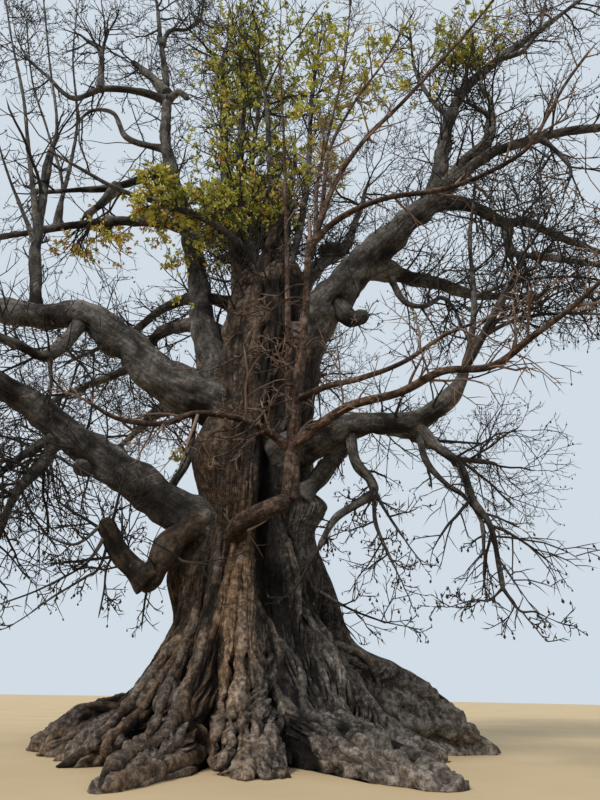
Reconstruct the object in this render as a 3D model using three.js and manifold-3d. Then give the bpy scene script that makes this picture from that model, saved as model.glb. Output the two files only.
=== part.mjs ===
// An old buttressed baobab, nearly bare in the dry season, in millimetres.
// +Z is up, and the origin is the middle of the flat cut where the trunk meets the ground.
// It is seen along +Y, so a heading of 180 degrees is to the left and 270 is towards the viewer.
import * as THREE from "three";
import { mergeVertices } from "three/addons/utils/BufferGeometryUtils.js";
import Module from "manifold-3d";

const wasm = await Module();
wasm.setup();

const METRE = 1000;
const CLEARANCE = 0.0004;
const STEM_GAP = 0.0003;
const UP = new THREE.Vector3(0, 0, 1);
const radians = THREE.MathUtils.degToRad;

// The trunk, in metres and degrees.
const TRUNK_TOP = 16.2;
const TRUNK_CROWN = 0.35;
const CROWN_SHOULDER = 0.5;
const TRUNK_ROWS = 19;
const ROW_CROWDING = 1.35;
const LEAN = { out: 0.3, from: 7.5, to: 11.5 };
// How sharply the buttresses part from the body, and how square their ends are.
const FOLD = 7;
const END = 4;
// Girth between the buttresses: [height, radius].
const BODY = [
  [0, 2.6], [1.5, 2.25], [3, 1.95], [4.6, 1.95], [6.2, 1.5], [7.8, 1.62], [9.4, 1.6],
  [11.2, 1.8], [12.6, 1.65], [14, 1.5], [15.2, 1.3], [16.2, 0.85],
];
// Each buttress: heading of its foot and of its head, height of its head, how far its plank runs
// out past the body, how hollow the plank's back is, how far the root at its toe lies out
// beyond it, how deep that root is, how humped its back is, and half its thickness.
const BUTTRESSES = [
  { foot: 8, head: 0, top: 5.2, reach: 3.0, hollow: 1.35, toe: 1.3, deep: 2.5, hump: 3, half: 0.5 },
  { foot: 30, head: 34, top: 4.4, reach: 1.6, hollow: 1.6, toe: 1.4, deep: 0.9, hump: 1.5, half: 0.45 },
  { foot: 52, head: 48, top: 5.2, reach: 2.2, hollow: 1.6, toe: 1.8, deep: 1.0, hump: 1.5, half: 0.5 },
  { foot: 74, head: 76, top: 3.8, reach: 1.4, hollow: 1.4, toe: 1.0, deep: 0.8, hump: 2, half: 0.4 },
  { foot: 95, head: 92, top: 5.4, reach: 2.4, hollow: 1.7, toe: 1.4, deep: 1.0, hump: 1.5, half: 0.45 },
  { foot: 116, head: 118, top: 4.0, reach: 1.5, hollow: 1.4, toe: 1.2, deep: 0.8, hump: 2, half: 0.4 },
  { foot: 138, head: 134, top: 5.0, reach: 2.0, hollow: 1.6, toe: 1.6, deep: 1.1, hump: 1.5, half: 0.5 },
  { foot: 160, head: 162, top: 3.6, reach: 1.3, hollow: 1.3, toe: 1.0, deep: 0.8, hump: 2, half: 0.4 },
  { foot: 184, head: 187, top: 3.5, reach: 1.1, hollow: 1.6, toe: 1.6, deep: 1.35, hump: 3, half: 0.6 },
  { foot: 201, head: 203, top: 3.4, reach: 1.5, hollow: 1.3, toe: 0.6, deep: 0.8, hump: 1.5, half: 0.36 },
  { foot: 216, head: 213, top: 3.8, reach: 1.5, hollow: 1.4, toe: 0.5, deep: 0.9, hump: 2, half: 0.36 },
  { foot: 231, head: 222, top: 5.0, reach: 1.8, hollow: 1.5, toe: 0.5, deep: 0.8, hump: 2, half: 0.34 },
  { foot: 245, head: 233, top: 4.8, reach: 1.5, hollow: 1.4, toe: 0.5, deep: 0.6, hump: 1.5, half: 0.3 },
  { foot: 258, head: 247, top: 6.8, reach: 2.4, hollow: 2.2, toe: 1.8, deep: 0.5, hump: 1.5, half: 0.32 },
  { foot: 268, head: 259, top: 3.4, reach: 0.6, hollow: 1.2, toe: 0.5, deep: 1.0, hump: 2, half: 0.3 },
  { foot: 279, head: 266, top: 6.4, reach: 1.8, hollow: 1.4, toe: 1.0, deep: 0.7, hump: 1.5, half: 0.75 },
  { foot: 293, head: 294, top: 2.4, reach: 0.3, hollow: 1.0, toe: 0.5, deep: 1.2, hump: 3, half: 0.36 },
  { foot: 305, head: 303, top: 3.8, reach: 2.0, hollow: 1.6, toe: 2.9, deep: 1.0, hump: 1.5, half: 0.75 },
  { foot: 326, head: 319, top: 3.6, reach: 1.6, hollow: 1.3, toe: 1.0, deep: 0.9, hump: 1.5, half: 0.45 },
  { foot: 346, head: 298, top: 6.4, reach: 2.0, hollow: 1.6, toe: 0.8, deep: 0.8, hump: 1.5, half: 0.5 },
];
const TOE_ROUND = 1.35;
const FLANK_SHARE = 0.38;
// Swellings and, below zero, hollows of the body: heading, half its width in degrees, middle
// height, half its height, and how far it stands out.
const SWELLINGS = [
  { heading: 198, wide: 32, at: 4.8, tall: 1.1, out: 0.45 },
  { heading: 222, wide: 30, at: 8.3, tall: 1.3, out: 0.75 },
  { heading: 256, wide: 12, at: 6.6, tall: 1.0, out: 0.35 },
  { heading: 290, wide: 9, at: 6.4, tall: 4.2, out: -0.85 },
  { heading: 337, wide: 12, at: 6.6, tall: 0.5, out: 0.8 },
  { heading: 352, wide: 30, at: 5.4, tall: 2.4, out: 0.45 },
  { heading: 320, wide: 7, at: 4.2, tall: 1.8, out: -0.45 },
  { heading: 262, wide: 7, at: 11.5, tall: 3.0, out: -0.4 },
  { heading: 96, wide: 9, at: 7.0, tall: 4.0, out: -0.6 },
  { heading: 20, wide: 8, at: 8.0, tall: 3.4, out: -0.45 },
  { heading: 150, wide: 9, at: 7.6, tall: 3.2, out: -0.5 },
];

// The boughs. Each leaves the trunk at a height, a heading and a distance from its axis, or
// another bough at a share of its length. A course is a list of stretches, each with its length,
// heading and climb. "thick" is the radius at the foot and at the tip.
const BOUGHS = {
  left_low: { on: "trunk", height: 5.7, heading: 210, out: 0.8, thick: [0.72, 0.34],
    course: [[1.7, 199, 25], [1.9, 194, 31], [1.8, 191, 30], [2.3, 195, 34], [2.3, 205, 18]] },
  left_low_fork: { on: "left_low", share: 0.67, thick: [0.2, 0.1],
    course: [[1.2, 223, -78], [1.3, 233, -61], [1.6, 258, -75]] },
  left_elbow: { on: "trunk", height: 6.4, heading: 215, out: 1, thick: [0.46, 0.26],
    course: [[1.7, 216, -32], [1.8, 217, -63]] },
  left_elbow_arm: { on: "left_elbow", share: 0.93, thick: [0.3, 0.27],
    course: [[1.2, 190, 42], [1, 211, 56]] },
  left_high: { on: "trunk", height: 10, heading: 201, out: 0.9, thick: [0.8, 0.36],
    course: [[1.5, 195, 17], [1.5, 193, 29], [1.7, 191, 37], [1.6, 186, 31], [1.5, 184, 0],
      [2.5, 176, 8]] },
  left_riser: { on: "left_high", share: 0.84, thick: [0.23, 0.17],
    course: [[2.3, 181, 76], [1.6, 156, 81]] },
  left_high_fork: { on: "left_high", share: 0.66, thick: [0.22, 0.1],
    course: [[2.2, 236, -63], [1.1, 226, -3], [1.4, 214, 8]] },
  left_back_high: { on: "trunk", height: 14.6, heading: 168, out: 1, thick: [0.25, 0.12],
    course: [[2.1, 165, 24], [2.1, 145, 6], [1.8, 137, -6], [2.2, 140, 2]] },
  left_back_low: { on: "trunk", height: 12.9, heading: 167, out: 0.9, thick: [0.32, 0.15],
    course: [[2.3, 162, 34], [1.9, 155, 4], [1.8, 143, -34], [2.4, 150, -7]] },
  crown_left: { on: "trunk", height: 10.6, heading: 190, out: 1.2, thick: [0.52, 0.13],
    course: [[2.5, 180, 67], [2.1, 154, 77], [3, 164, 76], [3.3, 169, 72], [3.2, 159, 74],
      [3.6, 153, 83], [3.7, 173, 79]] },
  crown_left_arm: { on: "crown_left", share: 0.83, thick: [0.2, 0.08],
    course: [[1.3, 188, 17], [1.7, 191, -8], [1.6, 188, -35], [2, 184, 44]] },
  left_beam: { on: "crown_left", share: 0.465, thick: [0.26, 0.12],
    course: [[2, 184, 3], [2.3, 183, -9], [2.2, 182, -15]] },
  left_beam_upper: { on: "crown_left", share: 0.62, thick: [0.24, 0.12],
    course: [[1.3, 185, -29], [1.4, 190, -33], [1.4, 184, -11]] },
  crown_centre: { on: "trunk", height: 15, heading: 172, out: 0.7, thick: [0.26, 0.15],
    course: [[3.5, 162, 74], [4.6, 159, 80], [5.7, 149, 84]] },
  right_great: { on: "trunk", height: 12.2, heading: 350, out: 0.7, thick: [0.82, 0.42],
    course: [[2.6, 352, 58], [2.4, 351, 50], [2.2, 352, 47], [2.3, 352, 44]] },
  right_great_up: { on: "right_great", share: 0.95, thick: [0.32, 0.13],
    course: [[2.3, 354, 77], [2.5, 0, 78], [2.3, 6, 64], [2.8, 6, 52], [3.1, 3, 46]] },
  right_pale: { on: "right_great", share: 0.98, thick: [0.3, 0.19],
    course: [[1.7, 337, 51], [1.5, 349, 45], [1.5, 344, 76]] },
  right_long: { on: "right_great", share: 0.97, thick: [0.24, 0.12],
    course: [[2.3, 332, 31], [1.7, 346, 16], [1.7, 346, 5], [2, 354, 2]] },
  right_drop: { on: "right_great", share: 0.93, thick: [0.3, 0.1],
    course: [[1.7, 11, 6], [1.5, 9, -25], [1.2, 20, 19], [2.1, 28, 2], [2.2, 25, 3]] },
  right_drop_low: { on: "right_drop", share: 0.43, thick: [0.18, 0.1],
    course: [[1.8, 241, -77], [1.5, 311, -39], [1.9, 325, -34]] },
  right_under: { on: "right_great", share: 0.5, thick: [0.38, 0.14],
    course: [[2, 32, 6], [2.1, 33, 14], [2.1, 32, 8], [2.8, 32, 20]] },
  right_back: { on: "trunk", height: 14.3, heading: 26, out: 0.7, thick: [0.4, 0.16],
    course: [[2.7, 55, 63], [2, 47, 57], [1.9, 38, 48], [2.9, 52, 66]] },
  right_low: { on: "trunk", height: 8.2, heading: 322, out: 1, thick: [0.56, 0.14],
    course: [[1.8, 332, 18], [1.2, 336, 10], [1.7, 331, -8], [1.3, 324, 23], [0.9, 318, 53]] },
  right_hang: { on: "right_low", share: 0.6, thick: [0.15, 0.07],
    course: [[1.1, 330, -58], [0.9, 342, -47], [1, 308, -75], [0.9, 330, -65], [1.6, 278, -82]] },
  red_bridge: { on: "trunk", height: 5.5, heading: 262, out: 1.2, thick: [0.27, 0.24],
    course: [[1.3, 270, 2], [0.9, 320, 18], [1.0, 8, 26]] },
  red_stem: { on: "red_bridge", share: 0.97, thick: [0.22, 0.1],
    course: [[1.5, 276, 79], [1.2, 304, 85], [1.7, 359, 86], [1.9, 322, 85], [2.3, 304, 87]] },
  red_arm: { on: "red_stem", share: 0.2, thick: [0.14, 0.08],
    course: [[1.8, 334, 28], [1.6, 330, 4], [1.2, 330, 16], [1.3, 325, -10], [1.2, 328, 27]] },
  red_climber: { on: "red_stem", share: 0.94, thick: [0.1, 0.06],
    course: [[2.9, 333, 71], [2, 339, 57], [2, 351, 50], [2.7, 346, 50]] },
  leaf_stem: { on: "trunk", height: 15.2, heading: 275, out: 0.4, thick: [0.18, 0.12],
    course: [[2.2, 262, 80], [2.2, 235, 86], [2.0, 225, 84]] },
  leaf_arm: { on: "trunk", height: 15.3, heading: 215, out: 0.4, thick: [0.18, 0.1],
    course: [[1.7, 232, 42], [1.8, 197, 30], [1.8, 188, 16]] },
  back_left: { on: "trunk", height: 9.6, heading: 128, out: 0.8, thick: [0.62, 0.2],
    course: [[2.6, 130, 38], [3.2, 122, 26], [3.2, 130, 14], [2.4, 120, 4]] },
  back_middle: { on: "trunk", height: 11.6, heading: 82, out: 0.6, thick: [0.56, 0.18],
    course: [[2.8, 84, 50], [3.2, 76, 38], [3.2, 86, 26], [2.4, 78, 12]] },
  back_right: { on: "trunk", height: 9.0, heading: 44, out: 0.8, thick: [0.56, 0.18],
    course: [[2.6, 46, 32], [3.0, 38, 22], [3.2, 48, 10], [2.2, 40, -4]] },
  back_top: { on: "trunk", height: 14.4, heading: 100, out: 0.3, thick: [0.42, 0.15],
    course: [[3.0, 95, 72], [3.4, 72, 66], [3.4, 88, 64], [3.0, 78, 70]] },
};
const FLARE = { more: 0.3, over: 0.12 };
// How many sides a bough has, by the radius at its foot.
const SIDES = [{ over: 0.5, sides: 8 }, { over: 0.28, sides: 6 }, { over: 0, sides: 5 }];

// The masses of twigs. Each grows on from the tip of its bough: the length of its stem, how much
// its twigs lift, the number that its draws start from, and its pods and sprays of leaves.
const MASSES = {
  left_low_twigs: { on: "left_low", stem: 3.9, lift: 0.05, pods: 2, leaves: 0 },
  left_high_twigs: { on: "left_high", stem: 4.1, lift: 0.1, pods: 2, leaves: 0 },
  left_riser_twigs: { on: "left_riser", stem: 6.0, lift: 0.25, pods: 2, leaves: 0 },
  left_back_high_twigs: { on: "left_back_high", stem: 3.9, lift: 0.15, pods: 2, leaves: 0 },
  left_back_low_twigs: { on: "left_back_low", stem: 3.9, lift: 0.05, pods: 2, leaves: 0 },
  crown_left_twigs: { on: "crown_left", stem: 4.8, lift: 0.2, pods: 2, leaves: 0 },
  crown_left_arm_twigs: { on: "crown_left_arm", stem: 3.7, lift: 0.2, pods: 2, leaves: 0 },
  left_beam_twigs: { on: "left_beam", stem: 4.1, lift: 0.1, pods: 2, leaves: 4 },
  left_beam_upper_twigs: { on: "left_beam_upper", stem: 2.5, lift: 0.3, pods: 1, leaves: 4 },
  crown_centre_twigs: { on: "crown_centre", stem: 4.1, lift: 0.15, pods: 2, leaves: 0 },
  right_great_twigs: { on: "right_great_up", stem: 4.8, lift: 0.15, pods: 3, leaves: 0 },
  right_long_twigs: { on: "right_long", stem: 3.9, lift: 0.05, pods: 2, leaves: 0 },
  right_drop_twigs: { on: "right_drop", stem: 3.9, lift: 0.05, pods: 2, leaves: 0 },
  right_drop_low_twigs: { on: "right_drop_low", stem: 3.2, lift: -0.05, pods: 2, leaves: 0 },
  right_under_twigs: { on: "right_under", stem: 4.1, lift: 0.1, pods: 2, leaves: 0 },
  right_back_twigs: { on: "right_back", stem: 4.6, lift: 0.15, pods: 2, leaves: 0 },
  right_low_twigs: { on: "right_low", stem: 3.9, lift: 0.15, pods: 2, leaves: 0 },
  red_arm_twigs: { on: "red_arm", stem: 3.0, lift: 0.1, pods: 2, leaves: 0 },
  red_climber_leaves: { on: "red_climber", stem: 3.4, lift: 0.05, pods: 0, leaves: 9 },
  leaf_stem_leaves: { on: "leaf_stem", stem: 7.0, lift: 0.1, pods: 0, leaves: 16 },
  leaf_arm_leaves: { on: "leaf_arm", stem: 4.4, lift: 0.06, pods: 0, leaves: 12 },
  back_left_twigs: { on: "back_left", stem: 4.4, lift: 0.1, pods: 2, leaves: 0 },
  back_middle_twigs: { on: "back_middle", stem: 4.4, lift: 0.12, pods: 2, leaves: 0 },
  back_right_twigs: { on: "back_right", stem: 4.4, lift: 0.1, pods: 2, leaves: 0 },
  back_top_twigs: { on: "back_top", stem: 4.8, lift: 0.15, pods: 2, leaves: 0 },
};
// Twigs a stem bears, and twigs that each of those bears.
const BEARS = [5, 1];
const PIECES = [3, 2, 1];
// Shares are of what bears the twig. Each pair is a least value and how much a draw may add.
const TWIG = {
  sides: 3, firstShare: 0.2, goldenShare: 0.618, goldenTurn: 137.5, spread: [34, 26],
  length: 0.88, shorter: 0.4, vary: [0.75, 0.5], thinner: 0.55, taper: 0.45, tip: 0.012, waver: 0.34,
};
const TWIG_ROOM = 0.05;
const POD = { long: 0.34, wide: 0.11, sunk: 0.02 };
const LEAF = { long: 0.95, wide: 0.34, thick: 0.03, sunk: 0.01, climb: [-20, 50] };
// Where on its twig a pod or a leaf grows, and where along itself it is widest.
const GROWS_AT = [0.35, 0.6];
const WIDEST = 0.55;
// A mass with more sprays of leaves than this is green.
const LEAFY = 6;
const SEED = 7;

// Ways of drawing numbers: one whole number gives another, or a share from 0 to 1.
function scramble(number, step) {
  let mixed = Math.imul(number ^ Math.imul(step + 1, 0x9e3779b1), 0x85ebca6b) >>> 0;
  mixed = Math.imul(mixed ^ (mixed >>> 13), 0xc2b2ae35) >>> 0;
  return (mixed ^ (mixed >>> 16)) >>> 0;
}
function draw(number, step) {
  return scramble(number, step) / 2 ** 32;
}
function drawWithin([least, more], number, step) {
  return least + more * draw(number, step);
}

// A unit vector with a heading and a climb in degrees.
function towards(heading, climb) {
  const level = Math.cos(radians(climb));
  const x = level * Math.cos(radians(heading));
  const y = level * Math.sin(radians(heading));
  return new THREE.Vector3(x, y, Math.sin(radians(climb)));
}

// A closed solid from rings of points that all have the same number. Each end is a fan round a
// middle where one is given, and otherwise a fan from the ring's first point.
function solidOfRings(rings, middles = []) {
  const sides = rings[0].length;
  const vertices = rings.flat();
  const triangles = [];
  for (let ring = 0; ring + 1 < rings.length; ring++) {
    for (let side = 0; side < sides; side++) {
      const next = (side + 1) % sides;
      const here = ring * sides;
      const above = here + sides;
      triangles.push(here + side, here + next, above + next);
      triangles.push(here + side, above + next, above + side);
    }
  }
  const last = (rings.length - 1) * sides;
  if (middles.length > 0) {
    const bottom = vertices.push(...middles) - 2;
    for (let side = 0; side < sides; side++) {
      const next = (side + 1) % sides;
      triangles.push(bottom, next, side, bottom + 1, last + side, last + next);
    }
  } else {
    for (let side = 1; side + 1 < sides; side++) {
      triangles.push(0, side + 1, side, last, last + side, last + side + 1);
    }
  }
  return solidOf(vertices, triangles);
}

function solidOf(points, triangles) {
  const lengths = points.flatMap((point) => [point.x * METRE, point.y * METRE, point.z * METRE]);
  const geometry = new THREE.BufferGeometry();
  geometry.setAttribute("position", new THREE.Float32BufferAttribute(lengths, 3));
  geometry.setIndex(triangles);
  const merged = mergeVertices(geometry, 1e-4);
  return new wasm.Manifold(new wasm.Mesh({
    numProp: 3,
    vertProperties: Float32Array.from(merged.attributes.position.array),
    triVerts: Uint32Array.from(merged.index.array),
  }));
}

// A tapering limb or twig: rings round a path, each turned as little as possible from the last.
function limbOf(path, radii, sides) {
  const rings = [];
  let side = null;
  path.forEach((point, index) => {
    const before = path[Math.max(index - 1, 0)];
    const after = path[Math.min(index + 1, path.length - 1)];
    const along = after.clone().sub(before).normalize();
    side ??= sidewaysOf(along);
    side = side.clone().addScaledVector(along, -side.dot(along)).normalize();
    const other = along.clone().cross(side);
    const ring = [];
    for (let step = 0; step < sides; step++) {
      const angle = (2 * Math.PI * step) / sides;
      ring.push(point.clone()
        .addScaledVector(side, radii[index] * Math.cos(angle))
        .addScaledVector(other, radii[index] * Math.sin(angle)));
    }
    rings.push(ring);
  });
  return solidOfRings(rings);
}

function sidewaysOf(along) {
  const aside = Math.abs(along.z) < 0.9 ? UP : new THREE.Vector3(1, 0, 0);
  return along.clone().cross(aside).normalize();
}

// The trunk's axis leans to the right between two heights.
function trunkAxis(height) {
  const share = THREE.MathUtils.smoothstep(height, LEAN.from, LEAN.to);
  return new THREE.Vector3(LEAN.out * share, 0, height);
}

function girth(height) {
  const above = BODY.findIndex(([level]) => level >= height);
  if (above <= 0) return above < 0 ? BODY.at(-1)[1] : BODY[0][1];
  const [low, radiusBelow] = BODY[above - 1];
  const [high, radiusAbove] = BODY[above];
  const share = (height - low) / (high - low);
  return radiusBelow + (radiusAbove - radiusBelow) * share;
}

// The angle between two headings, from -180 to 180.
function turnBetween(heading, other) {
  return ((heading - other + 540) % 360) - 180;
}

// Radius of the trunk at a heading and a height. A buttress is a plank of even thickness that
// reaches out to its own distance, and the planks and the body are blended where they meet.
function trunkRadius(heading, height) {
  let body = girth(height);
  for (const swelling of SWELLINGS) {
    const across = turnBetween(heading, swelling.heading) / swelling.wide;
    const up = (height - swelling.at) / swelling.tall;
    body += swelling.out * Math.exp(-across * across - up * up);
  }
  let sum = body ** FOLD;
  for (const buttress of BUTTRESSES) {
    const rise = height / buttress.top;
    const crest = buttress.foot + (buttress.head - buttress.foot) * rise;
    const off = Math.abs(turnBetween(heading, crest));
    if (rise >= 1 || off >= 90) continue;
    const under = 1 - Math.min(height / buttress.deep, 1) ** buttress.hump;
    const toe = buttress.toe * under ** (TOE_ROUND / buttress.hump);
    const run = buttress.reach * (1 - rise) ** buttress.hollow + toe;
    const flank = (Math.sin(radians(off)) / buttress.half) ** END;
    const plank = ((body + run) ** -END + flank) ** (-1 / END);
    const without = (body ** -END + flank) ** (-1 / END);
    sum += plank ** FOLD - without ** FOLD;
  }
  return sum ** (1 / FOLD);
}

// Headings of the trunk's columns: each buttress has one on its crest and one on each flank of
// its foot, and one lies in the valley beyond. No flank comes near to the middle of a valley.
function trunkHeadings() {
  const headings = [];
  const flankOf = ({ half, reach, toe }, apart) => {
    const wide = THREE.MathUtils.radToDeg(half / (girth(0) + reach + toe));
    return Math.min(wide, FLANK_SHARE * apart);
  };
  BUTTRESSES.forEach((buttress, index) => {
    const next = BUTTRESSES[(index + 1) % BUTTRESSES.length];
    const apart = (next.foot - buttress.foot + 360) % 360;
    headings.push(buttress.foot, buttress.foot + flankOf(buttress, apart));
    headings.push(buttress.foot + apart / 2, buttress.foot + apart - flankOf(next, apart));
  });
  return headings;
}

// The trunk from its flat cut to its blunt top, or the room that it takes with a clearance.
function trunkSolid(clearance) {
  const headings = trunkHeadings();
  const rings = [];
  for (let row = 0; row <= TRUNK_ROWS; row++) {
    const height = TRUNK_TOP * (row / TRUNK_ROWS) ** ROW_CROWDING;
    rings.push(trunkRing(headings, height, clearance));
  }
  const middle = trunkAxis(TRUNK_TOP).setZ(TRUNK_TOP + TRUNK_CROWN + clearance);
  const shoulder = (point) => point.clone().lerp(middle, CROWN_SHOULDER).setZ(middle.z);
  rings.push(rings.at(-1).map(shoulder));
  return solidOfRings(rings, [trunkAxis(0), middle]);
}

function trunkRing(headings, height, clearance) {
  return headings.map((heading) => {
    const out = trunkRadius(heading, height) + clearance;
    return trunkAxis(height).addScaledVector(towards(heading, 0), out);
  });
}

// Centre line of each bough, as a smooth curve through the ends of its stretches.
const curves = {};
function curveOf(bough) {
  const point = footOf(bough);
  const points = [point.clone()];
  for (const [length, heading, climb] of bough.course) {
    point.addScaledVector(towards(heading, climb), length);
    points.push(point.clone());
  }
  return new THREE.CatmullRomCurve3(points, false, "catmullrom", 0.5);
}

function footOf(bough) {
  if (bough.on !== "trunk") return curves[bough.on].getPoint(bough.share);
  return trunkAxis(bough.height).addScaledVector(towards(bough.heading, 0), bough.out);
}

// Radius of a bough at a share of its length: an even taper with a flare at its foot.
function boughRadius(bough, share) {
  const [foot, tip] = bough.thick;
  const flare = 1 + FLARE.more * Math.exp(-((share / FLARE.over) ** 2));
  return (foot + (tip - foot) * share) * flare;
}

function boughPath(name) {
  return curves[name].getPoints(BOUGHS[name].course.length);
}

function boughSides(bough) {
  return SIDES.find(({ over }) => bough.thick[0] > over).sides;
}

// A bough, or the room that it takes with a clearance.
function boughSolid(name, clearance) {
  const bough = BOUGHS[name];
  const path = boughPath(name);
  const radii = path.map((point, index) => boughRadius(bough, index / (path.length - 1)) + clearance);
  if (clearance > 0) {
    const end = path.at(-1);
    const onward = end.clone().sub(path.at(-2)).normalize();
    end.addScaledVector(onward, clearance);
  }
  return limbOf(path, radii, boughSides(bough));
}

function largestPiece(solid) {
  const pieces = solid.decompose();
  return pieces.reduce((best, piece) => (piece.volume() > best.volume() ? piece : best));
}

// Twigs keep clear of everything that is already there, which is kept as short straight rods.
const rods = [];
function addRods(owner, path, radii) {
  for (let index = 0; index + 1 < path.length; index++) {
    const radius = Math.max(radii[index], radii[index + 1]);
    rods.push({ owner, from: path[index], to: path[index + 1], radius });
  }
}

// Shortest distance between two straight rods.
function distanceBetween(from, to, otherFrom, otherTo) {
  const first = to.clone().sub(from);
  const second = otherTo.clone().sub(otherFrom);
  const gap = from.clone().sub(otherFrom);
  const a = first.dot(first);
  const b = first.dot(second);
  const c = second.dot(second);
  const d = first.dot(gap);
  const e = second.dot(gap);
  const clamp = THREE.MathUtils.clamp;
  const spread = a * c - b * b;
  let along = spread > 1e-9 ? clamp((b * e - c * d) / spread, 0, 1) : 0;
  const beside = clamp((b * along + e) / c, 0, 1);
  along = clamp((b * beside - d) / a, 0, 1);
  const here = from.clone().addScaledVector(first, along);
  return here.distanceTo(otherFrom.clone().addScaledVector(second, beside));
}

function isFree(owner, path, radii) {
  for (let index = 0; index + 1 < path.length; index++) {
    const from = path[index];
    const to = path[index + 1];
    const radius = Math.max(radii[index], radii[index + 1]);
    for (const rod of rods) {
      if (rod.owner === owner) continue;
      const apart = distanceBetween(from, to, rod.from, rod.to);
      if (apart < radius + rod.radius + TWIG_ROOM) return false;
    }
    if (entersTrunk(to, radius)) return false;
  }
  return true;
}

function entersTrunk(point, radius) {
  if (point.z < radius) return true;
  if (point.z > TRUNK_TOP + TRUNK_CROWN + radius) return false;
  const out = point.clone().sub(trunkAxis(point.z));
  const heading = THREE.MathUtils.radToDeg(Math.atan2(out.y, out.x));
  return Math.hypot(out.x, out.y) < trunkRadius(heading, point.z) + radius + TWIG_ROOM;
}

// The path of a twig: straight pieces that each turn a little by a draw and lift a little.
function twigPath(twig, lift) {
  const pieces = PIECES[twig.level];
  const point = twig.start.clone();
  const along = twig.along.clone();
  const path = [point.clone()];
  for (let piece = 0; piece < pieces; piece++) {
    path.push(point.addScaledVector(along, twig.length / pieces).clone());
    const waver = new THREE.Vector3(
      draw(twig.number, 3 * piece + 10) - 0.5,
      draw(twig.number, 3 * piece + 11) - 0.5,
      draw(twig.number, 3 * piece + 12) - 0.5,
    );
    along.addScaledVector(waver, TWIG.waver).addScaledVector(UP, lift).normalize();
  }
  return path;
}

function twigRadii(twig) {
  const pieces = PIECES[twig.level];
  const tip = Math.max(twig.radius * TWIG.taper, TWIG.tip);
  return Array.from({ length: pieces + 1 }, (_, index) => twig.radius + (tip - twig.radius) * (index / pieces));
}

// The place on a path at a share of it, with the way that it runs there.
function placeOn(path, share) {
  const steps = share * (path.length - 1);
  const index = Math.min(Math.floor(steps), path.length - 2);
  const point = path[index].clone().lerp(path[index + 1], steps - index);
  return { point, along: path[index + 1].clone().sub(path[index]).normalize() };
}

// The twigs that a twig bears, spiralling round it by the golden angle.
function childrenOf(twig, path) {
  const children = [];
  for (let child = 0; child < BEARS[twig.level]; child++) {
    const number = scramble(twig.number, child + 40);
    const share = TWIG.firstShare + (1 - TWIG.firstShare) * ((0.5 + child * TWIG.goldenShare) % 1);
    const { point, along } = placeOn(path, share);
    const round = radians(TWIG.goldenTurn * child + 360 * draw(twig.number, 1));
    const spread = radians(drawWithin(TWIG.spread, number, 2));
    const side = sidewaysOf(along);
    const other = along.clone().cross(side);
    const outward = side.multiplyScalar(Math.cos(round)).addScaledVector(other, Math.sin(round));
    const direction = along.multiplyScalar(Math.cos(spread)).addScaledVector(outward, Math.sin(spread));
    const length = twig.length * (TWIG.length - TWIG.shorter * share) * drawWithin(TWIG.vary, number, 3);
    const borne = twig.radius * (1 - (1 - TWIG.taper) * share);
    children.push({
      number, level: twig.level + 1, start: point, along: direction, length,
      radius: Math.max(borne * TWIG.thinner, TWIG.tip),
    });
  }
  return children;
}

// Every twig of a mass that is free to grow, with its path and radii, stem first.
function twigsOf(name, number) {
  const mass = MASSES[name];
  const bough = BOUGHS[mass.on];
  const path = boughPath(mass.on);
  const onward = path.at(-1).clone().sub(path.at(-2)).normalize();
  const start = path.at(-1).clone().addScaledVector(onward, STEM_GAP);
  const stem = { number, level: 0, start, along: onward, length: mass.stem, radius: bough.thick[1] };
  const grown = [];
  const waiting = [stem];
  while (waiting.length > 0) {
    const twig = waiting.shift();
    const course = twigPath(twig, mass.lift);
    const radii = twigRadii(twig);
    if (twig.level > 0 && !isFree(name, course, radii)) continue;
    grown.push({ ...twig, path: course, radii });
    if (twig.level < BEARS.length) waiting.push(...childrenOf(twig, course));
  }
  for (const twig of grown) addRods(name, twig.path, twig.radii);
  return grown;
}

// A pod hangs from its twig, and a spray of leaves leans out of it. Both are eight-sided.
function eightSided(foot, tip, acrossHalf, throughHalf) {
  const along = tip.clone().sub(foot).normalize();
  const across = sidewaysOf(along).multiplyScalar(acrossHalf);
  const through = along.clone().cross(across).normalize().multiplyScalar(throughHalf);
  const middle = foot.clone().lerp(tip, WIDEST);
  const points = [
    foot, tip, middle.clone().add(across), middle.clone().add(through),
    middle.clone().sub(across), middle.clone().sub(through),
  ];
  const triangles = [0, 3, 2, 0, 4, 3, 0, 5, 4, 0, 2, 5, 1, 2, 3, 1, 3, 4, 1, 4, 5, 1, 5, 2];
  return solidOf(points, triangles);
}

function podOn(place) {
  const foot = place.point.clone().addScaledVector(UP, POD.sunk);
  const tip = foot.clone().addScaledVector(UP, -POD.long);
  return { solid: eightSided(foot, tip, POD.wide / 2, POD.wide / 2), foot, tip, half: POD.wide / 2 };
}

function leafOn(place, number) {
  const lean = towards(360 * draw(number, 5), drawWithin(LEAF.climb, number, 6));
  const foot = place.point.clone().addScaledVector(lean, -LEAF.sunk);
  const tip = foot.clone().addScaledVector(lean, LEAF.long);
  return { solid: eightSided(foot, tip, LEAF.wide / 2, LEAF.thick / 2), foot, tip, half: LEAF.wide / 2 };
}

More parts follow.
